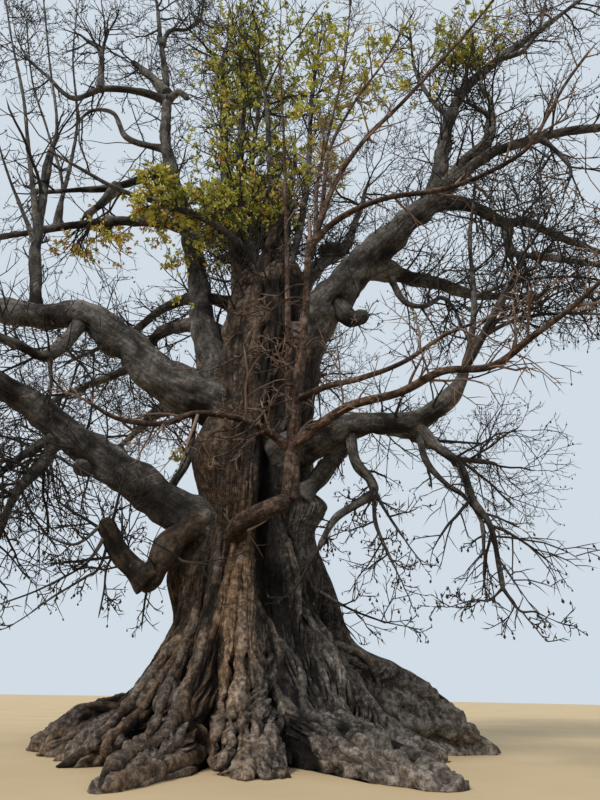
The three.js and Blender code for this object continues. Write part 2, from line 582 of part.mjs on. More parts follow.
function massSolid(name, number) {
  const mass = MASSES[name];
  const twigs = twigsOf(name, number);
  let solid = limbOf(twigs[0].path, twigs[0].radii, TWIG.sides);
  for (const twig of twigs.slice(1)) solid = solid.add(limbOf(twig.path, twig.radii, TWIG.sides));
  const outer = twigs.filter((twig) => twig.level === BEARS.length);
  for (let extra = 0; extra < mass.pods + mass.leaves; extra++) {
    const twig = outer[extra % outer.length];
    const place = placeOn(twig.path, drawWithin(GROWS_AT, twig.number, 30 + extra));
    const grown = extra < mass.pods ? podOn(place) : leafOn(place, scramble(number, extra));
    if (!isFree(name, [grown.foot, grown.tip], [grown.half, grown.half])) continue;
    addRods(name, [grown.foot, grown.tip], [grown.half, grown.half]);
    solid = solid.add(grown.solid);
  }
  return largestPiece(solid);
}

// Finishes, from the photograph.
function finish(colour) {
  return new THREE.MeshStandardMaterial({ color: colour, roughness: 0.9, metalness: 0 });
}
const bark = finish("#6b6056");
const redBark = finish("#84695a");
const paleBark = finish("#a59d90");
const twigBark = finish("#5c5148");
const leafGreen = finish("#8a9440");
const BARK_OF = {
  red_bridge: redBark, red_stem: redBark, red_arm: redBark, red_climber: redBark,
  leaf_stem: redBark, leaf_arm: redBark, right_pale: paleBark,
};

function meshOf(name, solid, material) {
  const { vertProperties, triVerts } = solid.getMesh();
  const geometry = new THREE.BufferGeometry();
  geometry.setAttribute("position", new THREE.BufferAttribute(vertProperties, 3));
  geometry.setIndex(new THREE.BufferAttribute(triVerts, 1));
  const mesh = new THREE.Mesh(geometry, material);
  mesh.name = name;
  return mesh;
}

// The tree: the trunk, the boughs cut clear of what they leave, and the masses of twigs.
const tree = new THREE.Group();
tree.add(meshOf("trunk", trunkSolid(0), bark));
const taken = [trunkSolid(2 * CLEARANCE)];
for (const [name, bough] of Object.entries(BOUGHS)) {
  curves[name] = curveOf(bough);
  let solid = boughSolid(name, 0);
  for (const room of taken) solid = solid.subtract(room);
  tree.add(meshOf(name, largestPiece(solid), BARK_OF[name] ?? bark));
  taken.push(boughSolid(name, CLEARANCE));
  const path = boughPath(name);
  addRods(name, path, path.map((point, index) => boughRadius(bough, index / (path.length - 1))));
}
Object.keys(MASSES).forEach((name, index) => {
  const material = MASSES[name].leaves > LEAFY ? leafGreen : twigBark;
  tree.add(meshOf(name, massSolid(name, scramble(SEED, index)), material));
});

export default tree;
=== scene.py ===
# %% [markdown]
# # An old buttressed baobab, nearly bare in the dry season
# A tree like this is one idea repeated at many sizes: a trunk that is fluted into planks, boughs
# that taper as they go, and twigs that repeat one branching rule down to the last shoot. It could be
# sculpted by hand, but a sculpture can't be measured or changed. Here every surface is a formula that
# numpy works out on a grid, in metres, so the same few rules make a root and a twig.
#
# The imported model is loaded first. It is the frame that the visible tree is fitted to.

import bpy
import numpy as np
from mathutils import Matrix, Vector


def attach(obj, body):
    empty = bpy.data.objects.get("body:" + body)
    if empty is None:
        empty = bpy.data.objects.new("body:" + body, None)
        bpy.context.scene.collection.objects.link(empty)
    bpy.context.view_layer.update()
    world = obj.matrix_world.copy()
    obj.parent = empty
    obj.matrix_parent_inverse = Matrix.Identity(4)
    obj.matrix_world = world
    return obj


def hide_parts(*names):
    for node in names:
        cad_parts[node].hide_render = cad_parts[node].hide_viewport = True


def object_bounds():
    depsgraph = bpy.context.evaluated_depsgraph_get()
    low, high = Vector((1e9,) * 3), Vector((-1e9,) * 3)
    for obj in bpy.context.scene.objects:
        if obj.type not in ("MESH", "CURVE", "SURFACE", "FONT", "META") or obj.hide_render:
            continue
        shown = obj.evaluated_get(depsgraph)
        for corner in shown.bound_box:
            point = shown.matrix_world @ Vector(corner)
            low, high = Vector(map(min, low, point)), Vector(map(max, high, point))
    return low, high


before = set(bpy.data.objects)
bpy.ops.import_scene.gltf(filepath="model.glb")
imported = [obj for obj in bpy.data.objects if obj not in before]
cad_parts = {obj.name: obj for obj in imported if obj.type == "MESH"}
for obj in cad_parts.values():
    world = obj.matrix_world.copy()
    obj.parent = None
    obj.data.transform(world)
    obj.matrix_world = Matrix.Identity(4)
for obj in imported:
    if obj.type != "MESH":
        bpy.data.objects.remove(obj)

SOLID_BOX = np.array([list(corner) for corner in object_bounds()])
print("solids fill", SOLID_BOX.round(2).tolist())

# %% [markdown]
# ## The camera
# The picture was taken about nineteen metres from the trunk, held upright and tilted up by 26 degrees
# to take in the crown, so the trunk narrows with height. A 27 mm lens on a 36 mm sensor gives the same
# narrowing. The camera leans by one degree, as a hand does. Depth of field stays off.

# %% The camera
EYE = (1.5, -18.8, 1.5)
TILT_UP = np.radians(26)
HAND_LEAN = np.radians(1)

camera = bpy.data.objects.new("camera", bpy.data.cameras.new("camera"))
camera.data.sensor_width = 36
camera.data.lens = 27
camera.data.clip_end = 500
camera.matrix_world = (
    Matrix.Translation(EYE)
    @ Matrix.Rotation(np.pi / 2 + TILT_UP, 4, "X")
    @ Matrix.Rotation(HAND_LEAN, 4, "Z")
)
bpy.context.scene.collection.objects.link(camera)
bpy.context.scene.camera = camera
print("camera looks up from", EYE)

# %% [markdown]
# ## Colours and shader nodes
# A material is a small tree of nodes. Two helpers keep its recipe short: one turns a colour code into
# light, and one adds a node and joins its inputs.

# %% A colour and a node
def paint(code):
    """A colour written as six hex digits, as light: below 0.04 divided by 12.92, else to the power 2.4."""
    part = np.array([int(code[at:at + 2], 16) for at in (0, 2, 4)]) / 255
    light = np.where(part < 0.04045, part / 12.92, ((part + 0.055) / 1.055) ** 2.4)
    return (*(float(value) for value in light), 1.0)


def node(tree, kind, settings=None, **inputs):
    """A node of a kind. Each input, called by its name or by its number as at0 or at1, is joined to the
    socket given for it, or set to the value given."""
    made = tree.nodes.new(kind)
    for key, value in (settings or {}).items():
        setattr(made, key, value)
    for key, value in inputs.items():
        socket = made.inputs[int(key[2:]) if key.startswith("at") else key.replace("_", " ")]
        if isinstance(value, bpy.types.NodeSocket):
            tree.links.new(value, socket)
        else:
            socket.default_value = value
    return made


print("mid grey is this much light:", round(paint("808080")[0], 3))

# %% [markdown]
# ## The light
# The sky in the picture is a bright even haze. A plain pale world stands for it, and one wide sun from
# the upper left gives the roots and the boughs a soft lit side. A sharp sun would give hard shadows that
# the picture doesn't have, and several lamps would only add to the haze.

# %% World and sun
HAZE_LIGHT, SUN_LIGHT = 0.95, 2.3
SUN_HEADING, SUN_SLANT, SUN_WIDTH = np.radians(-42), np.radians(48), np.radians(14)

world = bpy.data.worlds.new("haze")
world.use_nodes = True
haze = world.node_tree.nodes["Background"]
haze.inputs["Color"].default_value = paint("d6e1eb")
haze.inputs["Strength"].default_value = HAZE_LIGHT
bpy.context.scene.world = world

sun = bpy.data.objects.new("sun", bpy.data.lights.new("sun", "SUN"))
sun.data.energy = SUN_LIGHT
sun.data.angle = SUN_WIDTH
sun.data.color = (1.0, 0.96, 0.9)
sun.matrix_world = Matrix.Rotation(SUN_HEADING, 4, "Z") @ Matrix.Rotation(SUN_SLANT, 4, "X")
bpy.context.scene.collection.objects.link(sun)
bpy.context.scene.view_settings.view_transform = "Standard"
print("one sun and a pale world")

# %% [markdown]
# ## Drawing numbers
# Every twig, knob and leaf is drawn from a whole number that is scrambled step by step. A list from a
# random generator would shift as soon as one twig was added. A scrambled number gives each twig the same
# draws for good, so the limbs of the solid model and the twigs here grow from the same rule.

# %% Draws
WHOLE = np.uint64(0xFFFFFFFF)
STEP_MIX, FIRST_MIX, SECOND_MIX = np.uint64(0x9E3779B1), np.uint64(0x85EBCA6B), np.uint64(0xC2B2AE35)
FIRST_FOLD, SECOND_FOLD = np.uint64(13), np.uint64(16)


def scramble(number, step):
    """Another whole number below 2 to the 32: multiply, fold the high half onto the low, twice over."""
    number, step = np.atleast_1d(number).astype(np.uint64), np.atleast_1d(step).astype(np.uint64)
    stepped = ((step + np.uint64(1)) * STEP_MIX) & WHOLE
    mixed = ((number ^ stepped) * FIRST_MIX) & WHOLE
    mixed = ((mixed ^ (mixed >> FIRST_FOLD)) * SECOND_MIX) & WHOLE
    return mixed ^ (mixed >> SECOND_FOLD)


def draw(number, step):
    """A share from 0 to 1: the scrambled number divided by 2 to the 32."""
    return scramble(number, step) / 2.0 ** 32


print("two draws:", draw(7, 0)[0].round(4), draw(7, 1)[0].round(4))

# %% [markdown]
# Bark drawn at each point by itself would be grit. Smooth noise draws a slope at each corner of a grid of
# cells and eases from one to the next. With its sign taken off it has sharp creases, which is how one
# bulge of wood meets the next.

# %% Smooth noise, knobs and directions
CORNER_MIX = np.array([73856093, 19349663, 83492791], np.uint32)
SEED_MIX, SEED_START = 40503, 977
FOLD_MIXES, LAST_FOLD = ((15, 0x2C1B3C6D), (12, 0x297A2D39)), 15
SLOPE_BITS, HALF_SLOPES, SLOPE_SHIFTS = 1023, 511.5, (0, 10, 20)
NOISE_GAIN, KNOB_GAIN, KNOB_TOP = 1.7, 2.2, 1.2


def noise(points, seed):
    """Smooth noise from about -1 to 1 in unit cells. Each corner of a point's cell has a drawn slope; the
    slopes' heights at the point are mixed by an ease of 6t^5 - 15t^4 + 10t^3 along each axis."""
    points = np.asarray(points, np.float64)
    cell = np.floor(points)
    inside = (points - cell).astype(np.float32)
    ease = inside ** 3 * (inside * (inside * 6 - 15) + 10)
    corner = cell.astype(np.int64).astype(np.uint32)
    total = np.zeros(points.shape[:-1], np.float32)
    for which in range(8):
        step = np.array([which & 1, which >> 1 & 1, which >> 2], np.uint32)
        spread = (corner + step) * CORNER_MIX
        mixed = spread[..., 0] ^ spread[..., 1] ^ spread[..., 2] ^ np.uint32(seed * SEED_MIX + SEED_START)
        for fold, factor in FOLD_MIXES:
            mixed = (mixed ^ (mixed >> fold)) * np.uint32(factor)
        mixed = mixed ^ (mixed >> LAST_FOLD)
        away = inside - step.astype(np.float32)
        height = sum(((mixed >> shift & SLOPE_BITS) / HALF_SLOPES - 1) * away[..., axis]
                     for axis, shift in enumerate(SLOPE_SHIFTS))
        near = np.where(step, ease, 1 - ease)
        total += near[..., 0] * near[..., 1] * near[..., 2] * height
    return total * NOISE_GAIN


def knobs(points, size, seed):
    """Round knobs with sharp creases between them, from 0 to about 1: the size of noise of either sign."""
    return np.minimum(np.abs(noise(points / size, seed)) * KNOB_GAIN, KNOB_TOP)


def unit(vectors):
    """The same directions with a length of one: each vector divided by its own length."""
    return vectors / np.maximum(np.linalg.norm(vectors, axis=-1, keepdims=True), 1e-9)


print("noise at a place:", noise(np.array([[0.2, 0.4, 0.6]]), 1).round(2))

# %% [markdown]
# ## Bark, twig and leaf finishes
# Bark is pale on the crests, partly from dust and partly from painted light, grey-brown on the flanks and
# nearly black in the folds from painted shade, with fibres that run along each limb. A picture of bark would
# repeat and would stretch at every root. The finish is mixed from noise instead: `grain` is stored on each
# mesh and runs with the limb, so fibres follow it, and `crest` says how far a point stands out of its
# surroundings, with painted light and shade added to it. `dust` says where the bark is dusty and where the
# front plank is made paler, and `warm` where it is browner.

# %% Mixing colours
def ramp(tree, share, stops):
    """Colours at places from 0 to 1, mixed evenly between them."""
    made = node(tree, "ShaderNodeValToRGB", at0=share)
    band = made.color_ramp.elements
    while len(band) < len(stops):
        band.new(0.5)
    for element, (place, code) in zip(band, stops):
        element.position = place
        element.color = paint(code)
    return made.outputs["Color"]


def mixed(tree, share, below, above, how="MIX"):
    """Two colours blended by a share: below * (1 - share) + above * share, or above times below."""
    blend = {"data_type": "RGBA", "blend_type": how}
    return node(tree, "ShaderNodeMix", blend, at0=share, at6=below, at7=above).outputs[2]


def finish_of(name):
    """An empty material with its node tree and its surface shader."""
    made = bpy.data.materials.new(name)
    made.use_nodes = True
    return made, made.node_tree, made.node_tree.nodes["Principled BSDF"]


def stored(tree, name, kind="Fac"):
    """A value that is stored on the mesh, such as the crest."""
    return node(tree, "ShaderNodeAttribute", {"attribute_name": name}).outputs[kind]


def cloud(tree, place, scale, detail, roughness=0.5):
    """Noise of a scale, in so many finer and finer layers."""
    return node(tree, "ShaderNodeTexNoise", Vector=place, Scale=scale, Detail=detail, Roughness=roughness)


def product(tree, first, second):
    """One share times another."""
    return node(tree, "ShaderNodeMath", {"operation": "MULTIPLY"}, at0=first, at1=second).outputs[0]


def stretched(tree, value, low, high, at_low, at_high):
    """A value carried from one range to another: at_low where it is low, at_high where it is high."""
    made = node(tree, "ShaderNodeMapRange", Value=value, at1=low, at2=high, at3=at_low, at4=at_high)
    return made.outputs[0]


print("six helpers for finishes")

# %% Bark
WARM_TINT, FOLD_SHADE = "e2c4a6", "120e0c"
FIBRE_STOPS = [(0.32, "4a4a4a"), (0.5, "b0b0b0"), (0.66, "ffffff")]
LICHEN_STOPS = [(0.5, "000000"), (0.68, "ffffff")]
PIT_STOPS = [(0.4, "2e2b29"), (0.49, "a09d9a"), (0.6, "ffffff")]
LICHEN, FIBRE_DEPTH, WARM_DEPTH, FOLD_SHADE_DEPTH, CREST_LIGHT_DEPTH = 0.35, 0.75, 0.95, 0.92, 0.35


def bark(name, fold, flank, crest, grain_size=1.0, dust="8b7b68", pits=0.85):
    """Bark from three colours. Blotches choose between flank and crest colours, fibres along the grain
    darken them, and the stored dust is mixed in. The stored crest value paints shade into the folds and
    paints light onto what stands out. Pits darken it last."""
    made, tree, surface = finish_of(name)
    place = node(tree, "ShaderNodeTexCoord").outputs["Object"]
    blotch = cloud(tree, place, 1.3, 7.0, 0.62).outputs["Fac"]
    fibre = cloud(tree, stored(tree, "grain", "Vector"), 7.0 * grain_size, 6.0, 0.6).outputs["Fac"]
    speck = cloud(tree, place, 20.0, 4.0, 0.7).outputs["Fac"]
    rough = cloud(tree, place, 7.0, 8.0, 0.75).outputs["Fac"]
    stand = stored(tree, "crest")
    body = ramp(tree, blotch, [(0.30, fold), (0.47, flank), (0.66, crest)])
    body = mixed(tree, FIBRE_DEPTH, body, ramp(tree, fibre, FIBRE_STOPS), "MULTIPLY")
    body = mixed(tree, product(tree, ramp(tree, speck, LICHEN_STOPS), LICHEN), body, paint(crest))
    powder = product(tree, stored(tree, "dust"), stretched(tree, blotch, 0.3, 0.6, 0.5, 1.0))
    body = mixed(tree, powder, body, paint(dust))
    browner = mixed(tree, WARM_DEPTH, body, paint(WARM_TINT), "MULTIPLY")
    body = mixed(tree, stored(tree, "warm"), body, browner)
    # Painted shade: a low crest value, which also holds the named shades, darkens the bark towards nearly
    # black.
    body = mixed(tree, stretched(tree, stand, 0.58, 0.22, 0.0, FOLD_SHADE_DEPTH), body, paint(FOLD_SHADE))
    # Painted light: a high crest value, which also holds the lit tops of limbs and strands, pales the bark
    # towards its crest colour.
    body = mixed(tree, stretched(tree, stand, 0.7, 1.0, 0.0, CREST_LIGHT_DEPTH), body, paint(crest))
    body = mixed(tree, pits, body, ramp(tree, rough, PIT_STOPS), "MULTIPLY")
    tree.links.new(body, surface.inputs["Base Color"])
    surface.inputs["Roughness"].default_value = 0.88
    surface.inputs["Specular IOR Level"].default_value = 0.25
    relief = node(tree, "ShaderNodeMath", {"operation": "MULTIPLY_ADD"}, at0=rough, at1=1.4, at2=fibre)
    bump = node(tree, "ShaderNodeBump", Height=relief.outputs[0], Strength=0.9, Distance=0.07)
    tree.links.new(bump.outputs["Normal"], surface.inputs["Normal"])
    return made


grey_bark = bark("grey_bark", "4c4744", "77716c", "aaa39c", pits=0.62)
trunk_bark = bark("trunk_bark", "2f2b28", "6f6862", "b3a9a0", 1.0, "d2bda4")
red_bark = bark("red_bark", "4d382e", "8b6d5c", "b89c89", 1.4)
pale_bark = bark("pale_bark", "6a635c", "a39b91", "cfc8bd", 1.4)
print("four barks")

# %% [markdown]
# Twigs, pods and leaves are too small for a pattern. Each has one plain colour, or two that broad noise
# mixes, so that the crown isn't the same all over. Leaves have five colours, which are dealt out later.

# %% Twigs, pods and leaves
def plain(name, code, roughness, other=None, scale=3.0):
    """A finish of one colour, or of two that are mixed by broad noise."""
    made, tree, surface = finish_of(name)
    surface.inputs["Base Color"].default_value = paint(code)
    if other:
        broad = cloud(tree, node(tree, "ShaderNodeTexCoord").outputs["Object"], scale, 3.0)
        both = ramp(tree, broad.outputs["Fac"], [(0.35, code), (0.65, other)])
        tree.links.new(both, surface.inputs["Base Color"])
    surface.inputs["Roughness"].default_value = roughness
    surface.inputs["Specular IOR Level"].default_value = 0.3
    return made


twig_bark = plain("twig_bark", "211e1c", 0.9, "3b3531", 0.8)
red_twig_bark = plain("red_twig_bark", "5d4b42", 0.85, "8f786a", 0.8)
pod_skin = plain("pod_skin", "26211d", 0.7, "3f352b", 2.0)
# The leaves' colours are lighter than the leaves themselves: painted light that stands for the sun shining
# through them.
LEAF_COLOURS = {
    "leaves_deep": "8a924a", "leaves_green": "b2b556", "leaves_lime": "cfcf6c",
    "leaves_yellow": "dcc466", "leaves_orange": "d19d4c",
}
leaf_skins = {name: plain(name, code, 0.55) for name, code in LEAF_COLOURS.items()}
print("twigs, pods and", len(leaf_skins), "colours of leaf")

# %% [markdown]
# ## Putting a surface into Blender
# A surface comes out of numpy as an array of points and arrays of faces. Blender can be given them in
# one call each, which takes a moment where adding corners one at a time would take minutes. The solids of
# the model that a piece stands for are hidden, and the piece rides on the model's one body.

# %% Meshes from arrays
made_pieces = []


def add_piece(name, points, faces, finish, nodes=(), flat=None, values=None):
    """A piece at the origin from points and from lists of three- or four-sided faces. `flat` marks the
    faces that aren't shaded smoothly, and `values` are stored at the points."""
    faces = [np.asarray(group, np.int64) for group in faces if len(group)]
    corners = np.concatenate([group.ravel() for group in faces])
    sides = np.concatenate([np.full(len(group), group.shape[1]) for group in faces])
    mesh = bpy.data.meshes.new(name)
    mesh.vertices.add(len(points))
    mesh.vertices.foreach_set("co", np.ascontiguousarray(points, np.float32).ravel())
    mesh.loops.add(int(sides.sum()))
    mesh.loops.foreach_set("vertex_index", corners.astype(np.int32))
    mesh.polygons.add(len(sides))
    mesh.polygons.foreach_set("loop_start", (np.cumsum(sides) - sides).astype(np.int32))
    smooth = np.ones(len(sides), bool) if flat is None else ~flat
    mesh.polygons.foreach_set("use_smooth", smooth)
    mesh.update(calc_edges=True)
    for key, value in (values or {}).items():
        kind, field = ("FLOAT_VECTOR", "vector") if np.ndim(value) == 2 else ("FLOAT", "value")
        layer = mesh.attributes.new(key, kind, "POINT")
        layer.data.foreach_set(field, np.ascontiguousarray(value, np.float32).ravel())
    mesh.materials.append(finish)
    piece = bpy.data.objects.new(name, mesh)
    bpy.context.scene.collection.objects.link(piece)
    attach(piece, "root")
    if nodes:
        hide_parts(*nodes)
    made_pieces.append((name, int((sides - 2).sum())))
    print(f"{name}: {made_pieces[-1][1]} triangles")


def grid_faces(rows, columns, closed=True):
    """Four-sided faces of a grid of points, that point outwards where a row runs left-handed round its
    limb's way on. A closed grid's last column meets its first."""
    faces_round = columns if closed else columns - 1
    row, column = np.meshgrid(np.arange(rows - 1), np.arange(faces_round), indexing="ij")
    beside = (column + 1) % columns
    here, there = row * columns + column, row * columns + beside
    return np.stack([here, there, there + columns, here + columns], -1).reshape(-1, 4)


def fan(first, row, beside):
    """Three-sided faces from one point to each step of a row of points."""
    return np.stack([np.full(len(row), first), row, beside], -1)


def end_fans(rings, sides):
    """Three-sided faces that close a tube of rings at its foot and at its end, to the two points that come
    after the rings."""
    side, last = np.arange(sides), (rings - 1) * sides
    beside = (side + 1) % sides
    return np.vstack([fan(rings * sides, beside, side), fan(rings * sides + 1, last + side, last + beside)])


print("a grid of 3 by 4 points has", len(grid_faces(3, 4)), "faces")

# %% [markdown]
# ## The trunk
# The trunk stands on buttresses, planks of wood that run out along its roots and hold it up in thin soil.
# Seen from above it is a star. Each plank has an even thickness and ends at its own distance, so in polar
# form it is the smaller of two curves: the distance of its end, and its half thickness divided by the sine
# of the angle from its crest. Blending those, and then all planks with the body, gives one closed skin.
# Separate plank meshes would show a seam at every fold.

# %% Measures of the trunk
TRUNK_TOP = 16.2
TRUNK_CROWN = 0.35
LEAN_OUT, LEAN_FROM, LEAN_TO = 0.3, 7.5, 11.5
FOLD, PLANK_CORNER = 7, 4
BODY_HEIGHTS = [0, 1.5, 3, 4.6, 6.2, 7.8, 9.4, 11.2, 12.6, 14, 15.2, 16.2]
BODY_RADII = [2.6, 2.25, 1.95, 1.95, 1.5, 1.62, 1.6, 1.8, 1.65, 1.5, 1.3, 0.85]
AVERAGED = (-0.3, -0.1, 0.1, 0.3)
# Each buttress: heading of its foot and head, height of its head, reach and hollow of its back, length and
# depth of the root at its toe, how humped the root's back is, and half its thickness.
BUTTRESSES = [
    (8, 0, 5.2, 3.0, 1.35, 1.3, 2.5, 3, 0.5), (30, 34, 4.4, 1.6, 1.6, 1.4, 0.9, 1.5, 0.45),
    (52, 48, 5.2, 2.2, 1.6, 1.8, 1.0, 1.5, 0.5), (74, 76, 3.8, 1.4, 1.4, 1.0, 0.8, 2, 0.4),
    (95, 92, 5.4, 2.4, 1.7, 1.4, 1.0, 1.5, 0.45), (116, 118, 4.0, 1.5, 1.4, 1.2, 0.8, 2, 0.4),
    (138, 134, 5.0, 2.0, 1.6, 1.6, 1.1, 1.5, 0.5), (160, 162, 3.6, 1.3, 1.3, 1.0, 0.8, 2, 0.4),
    (184, 187, 3.5, 1.1, 1.6, 1.6, 1.35, 3, 0.6), (201, 203, 3.4, 1.5, 1.3, 0.6, 0.8, 1.5, 0.36),
    (216, 213, 3.8, 1.5, 1.4, 0.5, 0.9, 2, 0.36), (231, 222, 5.0, 1.8, 1.5, 0.5, 0.8, 2, 0.34),
    (245, 233, 4.8, 1.5, 1.4, 0.5, 0.6, 1.5, 0.3), (258, 247, 6.8, 2.4, 2.2, 1.8, 0.5, 1.5, 0.32),
    (268, 259, 3.4, 0.6, 1.2, 0.5, 1.0, 2, 0.3), (279, 266, 6.4, 1.8, 1.4, 1.0, 0.7, 1.5, 0.75),
    (293, 294, 2.4, 0.3, 1.0, 0.5, 1.2, 3, 0.36), (305, 303, 3.8, 2.0, 1.6, 2.9, 1.0, 1.5, 0.75),
    (326, 319, 3.6, 1.6, 1.3, 1.0, 0.9, 1.5, 0.45), (346, 298, 6.4, 2.0, 1.6, 0.8, 0.8, 1.5, 0.5),
]
TOE_ROUND = 1.35
# Swellings, and hollows below zero: heading, half width in degrees, middle and half height, and how far
# out.
SWELLINGS = [
    (198, 32, 4.8, 1.1, 0.45), (222, 30, 8.3, 1.3, 0.75), (256, 12, 6.6, 1.0, 0.35),
    (290, 9, 6.4, 4.2, -0.85), (337, 12, 6.6, 0.5, 0.8), (352, 30, 5.4, 2.4, 0.45),
    (320, 7, 4.2, 1.8, -0.45), (262, 7, 11.5, 3.0, -0.4), (96, 9, 7.0, 4.0, -0.6),
    (20, 8, 8.0, 3.4, -0.45), (150, 9, 7.6, 3.2, -0.5),
]
print(len(BUTTRESSES), "planks and", len(SWELLINGS), "swellings and hollows")

# %% The trunk's radius at a heading and a height
def turn_between(heading, other):
    """The angle between two headings, from -180 to 180 degrees."""
    return (heading - other + 540) % 360 - 180


def heading_of(points):
    """The heading of each point from the upright through the origin."""
    return np.degrees(np.arctan2(points[..., 1], points[..., 0]))


def girth(height):
    """Radius of the body between its planks: straight lines from height to height, rounded by averaging
    over half a metre."""
    return sum(np.interp(height + shift, BODY_HEIGHTS, BODY_RADII) for shift in AVERAGED) / len(AVERAGED)


def plank_run(height, top, reach, hollow, toe, deep, hump):
    """How far a plank's end stands off the body: reach * (1 - height/top)^hollow for its back, and for the
    root at its toe, toe * (1 - (height/deep)^hump)^(round/hump)."""
    under = 1 - np.minimum(height / deep, 1) ** hump
    return reach * np.maximum(1 - height / top, 0) ** hollow + toe * under ** (TOE_ROUND / hump)


def trunk_radius(heading, height):
    """Distance of the skin from the axis. A plank is (end^-4 + flank^-4)^(-1/4), and planks and body are
    joined as (body^7 + sum of planks^7)^(1/7), so the larger wins and the fold between is tight."""
    body = girth(height)
    for middle, wide, at, tall, out in SWELLINGS:
        across = turn_between(heading, middle) / wide
        body = body + out * np.exp(-across ** 2 - ((height - at) / tall) ** 2)
    total = body ** FOLD
    for foot, head, top, reach, hollow, toe, deep, hump, half in BUTTRESSES:
        rise = height / top
        off = np.abs(turn_between(heading, foot + (head - foot) * rise))
        run = plank_run(height, top, reach, hollow, toe, deep, hump)
        flank = (np.sin(np.radians(np.minimum(off, 89))) / half) ** PLANK_CORNER
        plank = ((body + run) ** -PLANK_CORNER + flank) ** (-1 / PLANK_CORNER)
        without = (body ** -PLANK_CORNER + flank) ** (-1 / PLANK_CORNER)
        total = total + np.where((rise < 1) & (off < 90), plank ** FOLD - without ** FOLD, 0)
    return total ** (1 / FOLD)


chest_radius = trunk_radius(np.array([270.0]), np.array([1.3]))[0]
print("trunk at chest height, facing the camera:", chest_radius.round(2))

# %% [markdown]
# The planks of a real trunk wander, and its skin hangs in folds like heavy cloth. Bending the headings
# before the formula is read makes every plank wander at once, and long upright pleats are added to the
# distance. Slots are narrow upright holes between the toes of the roots at the front.

# %% Wandering planks, pleats and slots
# Each slot: heading, half width in degrees, middle and half height, and depth.
SLOTS = [
    (287.0, 1.4, 1.5, 0.8, 0.9), (278.0, 1.3, 0.75, 0.65, 0.8), (269.5, 1.2, 1.2, 0.9, 0.75),
    (273.5, 1.0, 0.5, 0.5, 0.6), (282.5, 1.0, 0.5, 0.45, 0.6), (247.0, 1.1, 1.7, 1.0, 0.6),
    (236.0, 1.2, 1.5, 0.8, 0.55), (224.0, 1.3, 1.3, 0.8, 0.6), (216.0, 1.2, 1.0, 0.7, 0.5),
    (209.0, 1.4, 0.9, 0.6, 0.55),
]
# Slow and quick wandering: degrees, radius of the circle in noise, metres to a cell upwards, and seed.
WANDERINGS = [(1.6, 5.0, 1.1, 3), (1.1, 11.0, 0.5, 4)]
WANDER_TOP, WANDER_FADE = 7.5, 0.7
# Broad and fine pleats: radius of the circle, metres to a cell, seed, depth low down, and how much more
# above.
PLEATS = [(2.6, 3.4, 5, 0.05, 0.13), (10.0, 2.2, 6, 0.05, 0.02)]
PLEATS_FROM, PLEATS_OVER = 3.5, 4


def round_trunk(heading, height, across, along):
    """Places in noise that close up round the trunk: the heading as a circle of a radius, and the height."""
    angle = np.radians(heading)
    return np.stack([across * np.cos(angle), across * np.sin(angle), height / along + 0 * angle], -1)


def wander(heading, height):
    """How many degrees the planks are bent aside, from slow and quick noise that fades out with height."""
    bend = sum(degrees * noise(round_trunk(heading, height, across, along), seed)
               for degrees, across, along, seed in WANDERINGS)
    return bend * np.clip(1 - height / WANDER_TOP, 0, 1) ** WANDER_FADE


def skin_radius(heading, height):
    """The trunk's radius with its planks wandering, with pleats of twice the size of noise less a half, and
    less slots that are deep * exp(-(turn/wide)^3 - (rise/tall)^4)."""
    radius = trunk_radius(heading + wander(heading, height), height)
    high = np.clip((height - PLEATS_FROM) / PLEATS_OVER, 0, 1)
    for across, along, seed, low_depth, more in PLEATS:
        pleat = np.abs(noise(round_trunk(heading, height, across, along), seed)) * 2 - 0.5
        radius = radius + pleat * (low_depth + more * high)
    for middle, wide, at, tall, deep in SLOTS:
        across = np.abs(turn_between(heading, middle) / wide)
        up = np.abs((height - at) / tall)
        radius = radius - deep * np.exp(-across ** 3 - up ** 4)
    return radius


def trunk_axis(height):
    """How far the axis leans to the right at a height, by an ease of 3t^2 - 2t^3 between two heights."""
    share = np.clip((height - LEAN_FROM) / (LEAN_TO - LEAN_FROM), 0, 1)
    return LEAN_OUT * share ** 2 * (3 - 2 * share)


def on_trunk(heading, radius, height):
    """Points at headings, distances from the axis, and heights."""
    angle = np.radians(heading)
    across = trunk_axis(height) + radius * np.cos(angle)
    return np.stack([across, radius * np.sin(angle), height + 0 * angle], -1)


print("the axis leans", trunk_axis(TRUNK_TOP), "m to the right at the top;", len(SLOTS), "slots")

# %% [markdown]
# An even grid of headings and heights would stretch badly on planks that stand five metres out. So the
# skin is first measured finely, then the grid is laid again at even steps along the skin itself, across
# each plank and then down each column. The roots get as many faces to the metre as the body does. Between
# the two, what stands out is sharpened, as an eye would exaggerate it.

# %% The skin measured finely, and sharpened
WAIST = 7.1
FINE_TURN, ROOTS_TOP, ROOT_ROW, BODY_ROWS = 0.15, 2.2, 0.015, 190
BROAD_SPAN, CLOSE_SPAN, SHARPER = 18, 6, 0.6
BROAD_RELIEF, CLOSE_RELIEF, DEEPEST, PROUDEST = 0.34, 0.7, -2, 0.5
valleys = []
for this, following in zip(BUTTRESSES, BUTTRESSES[1:] + BUTTRESSES[:1]):
    valleys.append(this[0] + (following[0] - this[0]) % 360 / 2)
valleys = np.array([valleys[-1] - 360, *valleys])

fine_headings = valleys[0] + np.linspace(0, 360, round(360 / FINE_TURN) + 1)
fine_heights = np.concatenate([np.arange(0, ROOTS_TOP, ROOT_ROW), np.linspace(ROOTS_TOP, WAIST, BODY_ROWS)])
fine_radius = skin_radius(*np.meshgrid(fine_headings, fine_heights))


def stands_out(radius, degrees_a_step, span=BROAD_SPAN):
    """How far each radius of a ring is above the mean of those within a span of headings to either side."""
    reach = int(span / degrees_a_step)
    wrapped = np.concatenate([radius[:, -reach - 1:], radius, radius[:, :reach]], 1)
    total = np.cumsum(wrapped, 1)
    return radius - (total[:, 2 * reach + 1:] - total[:, :-2 * reach - 1]) / (2 * reach + 1)


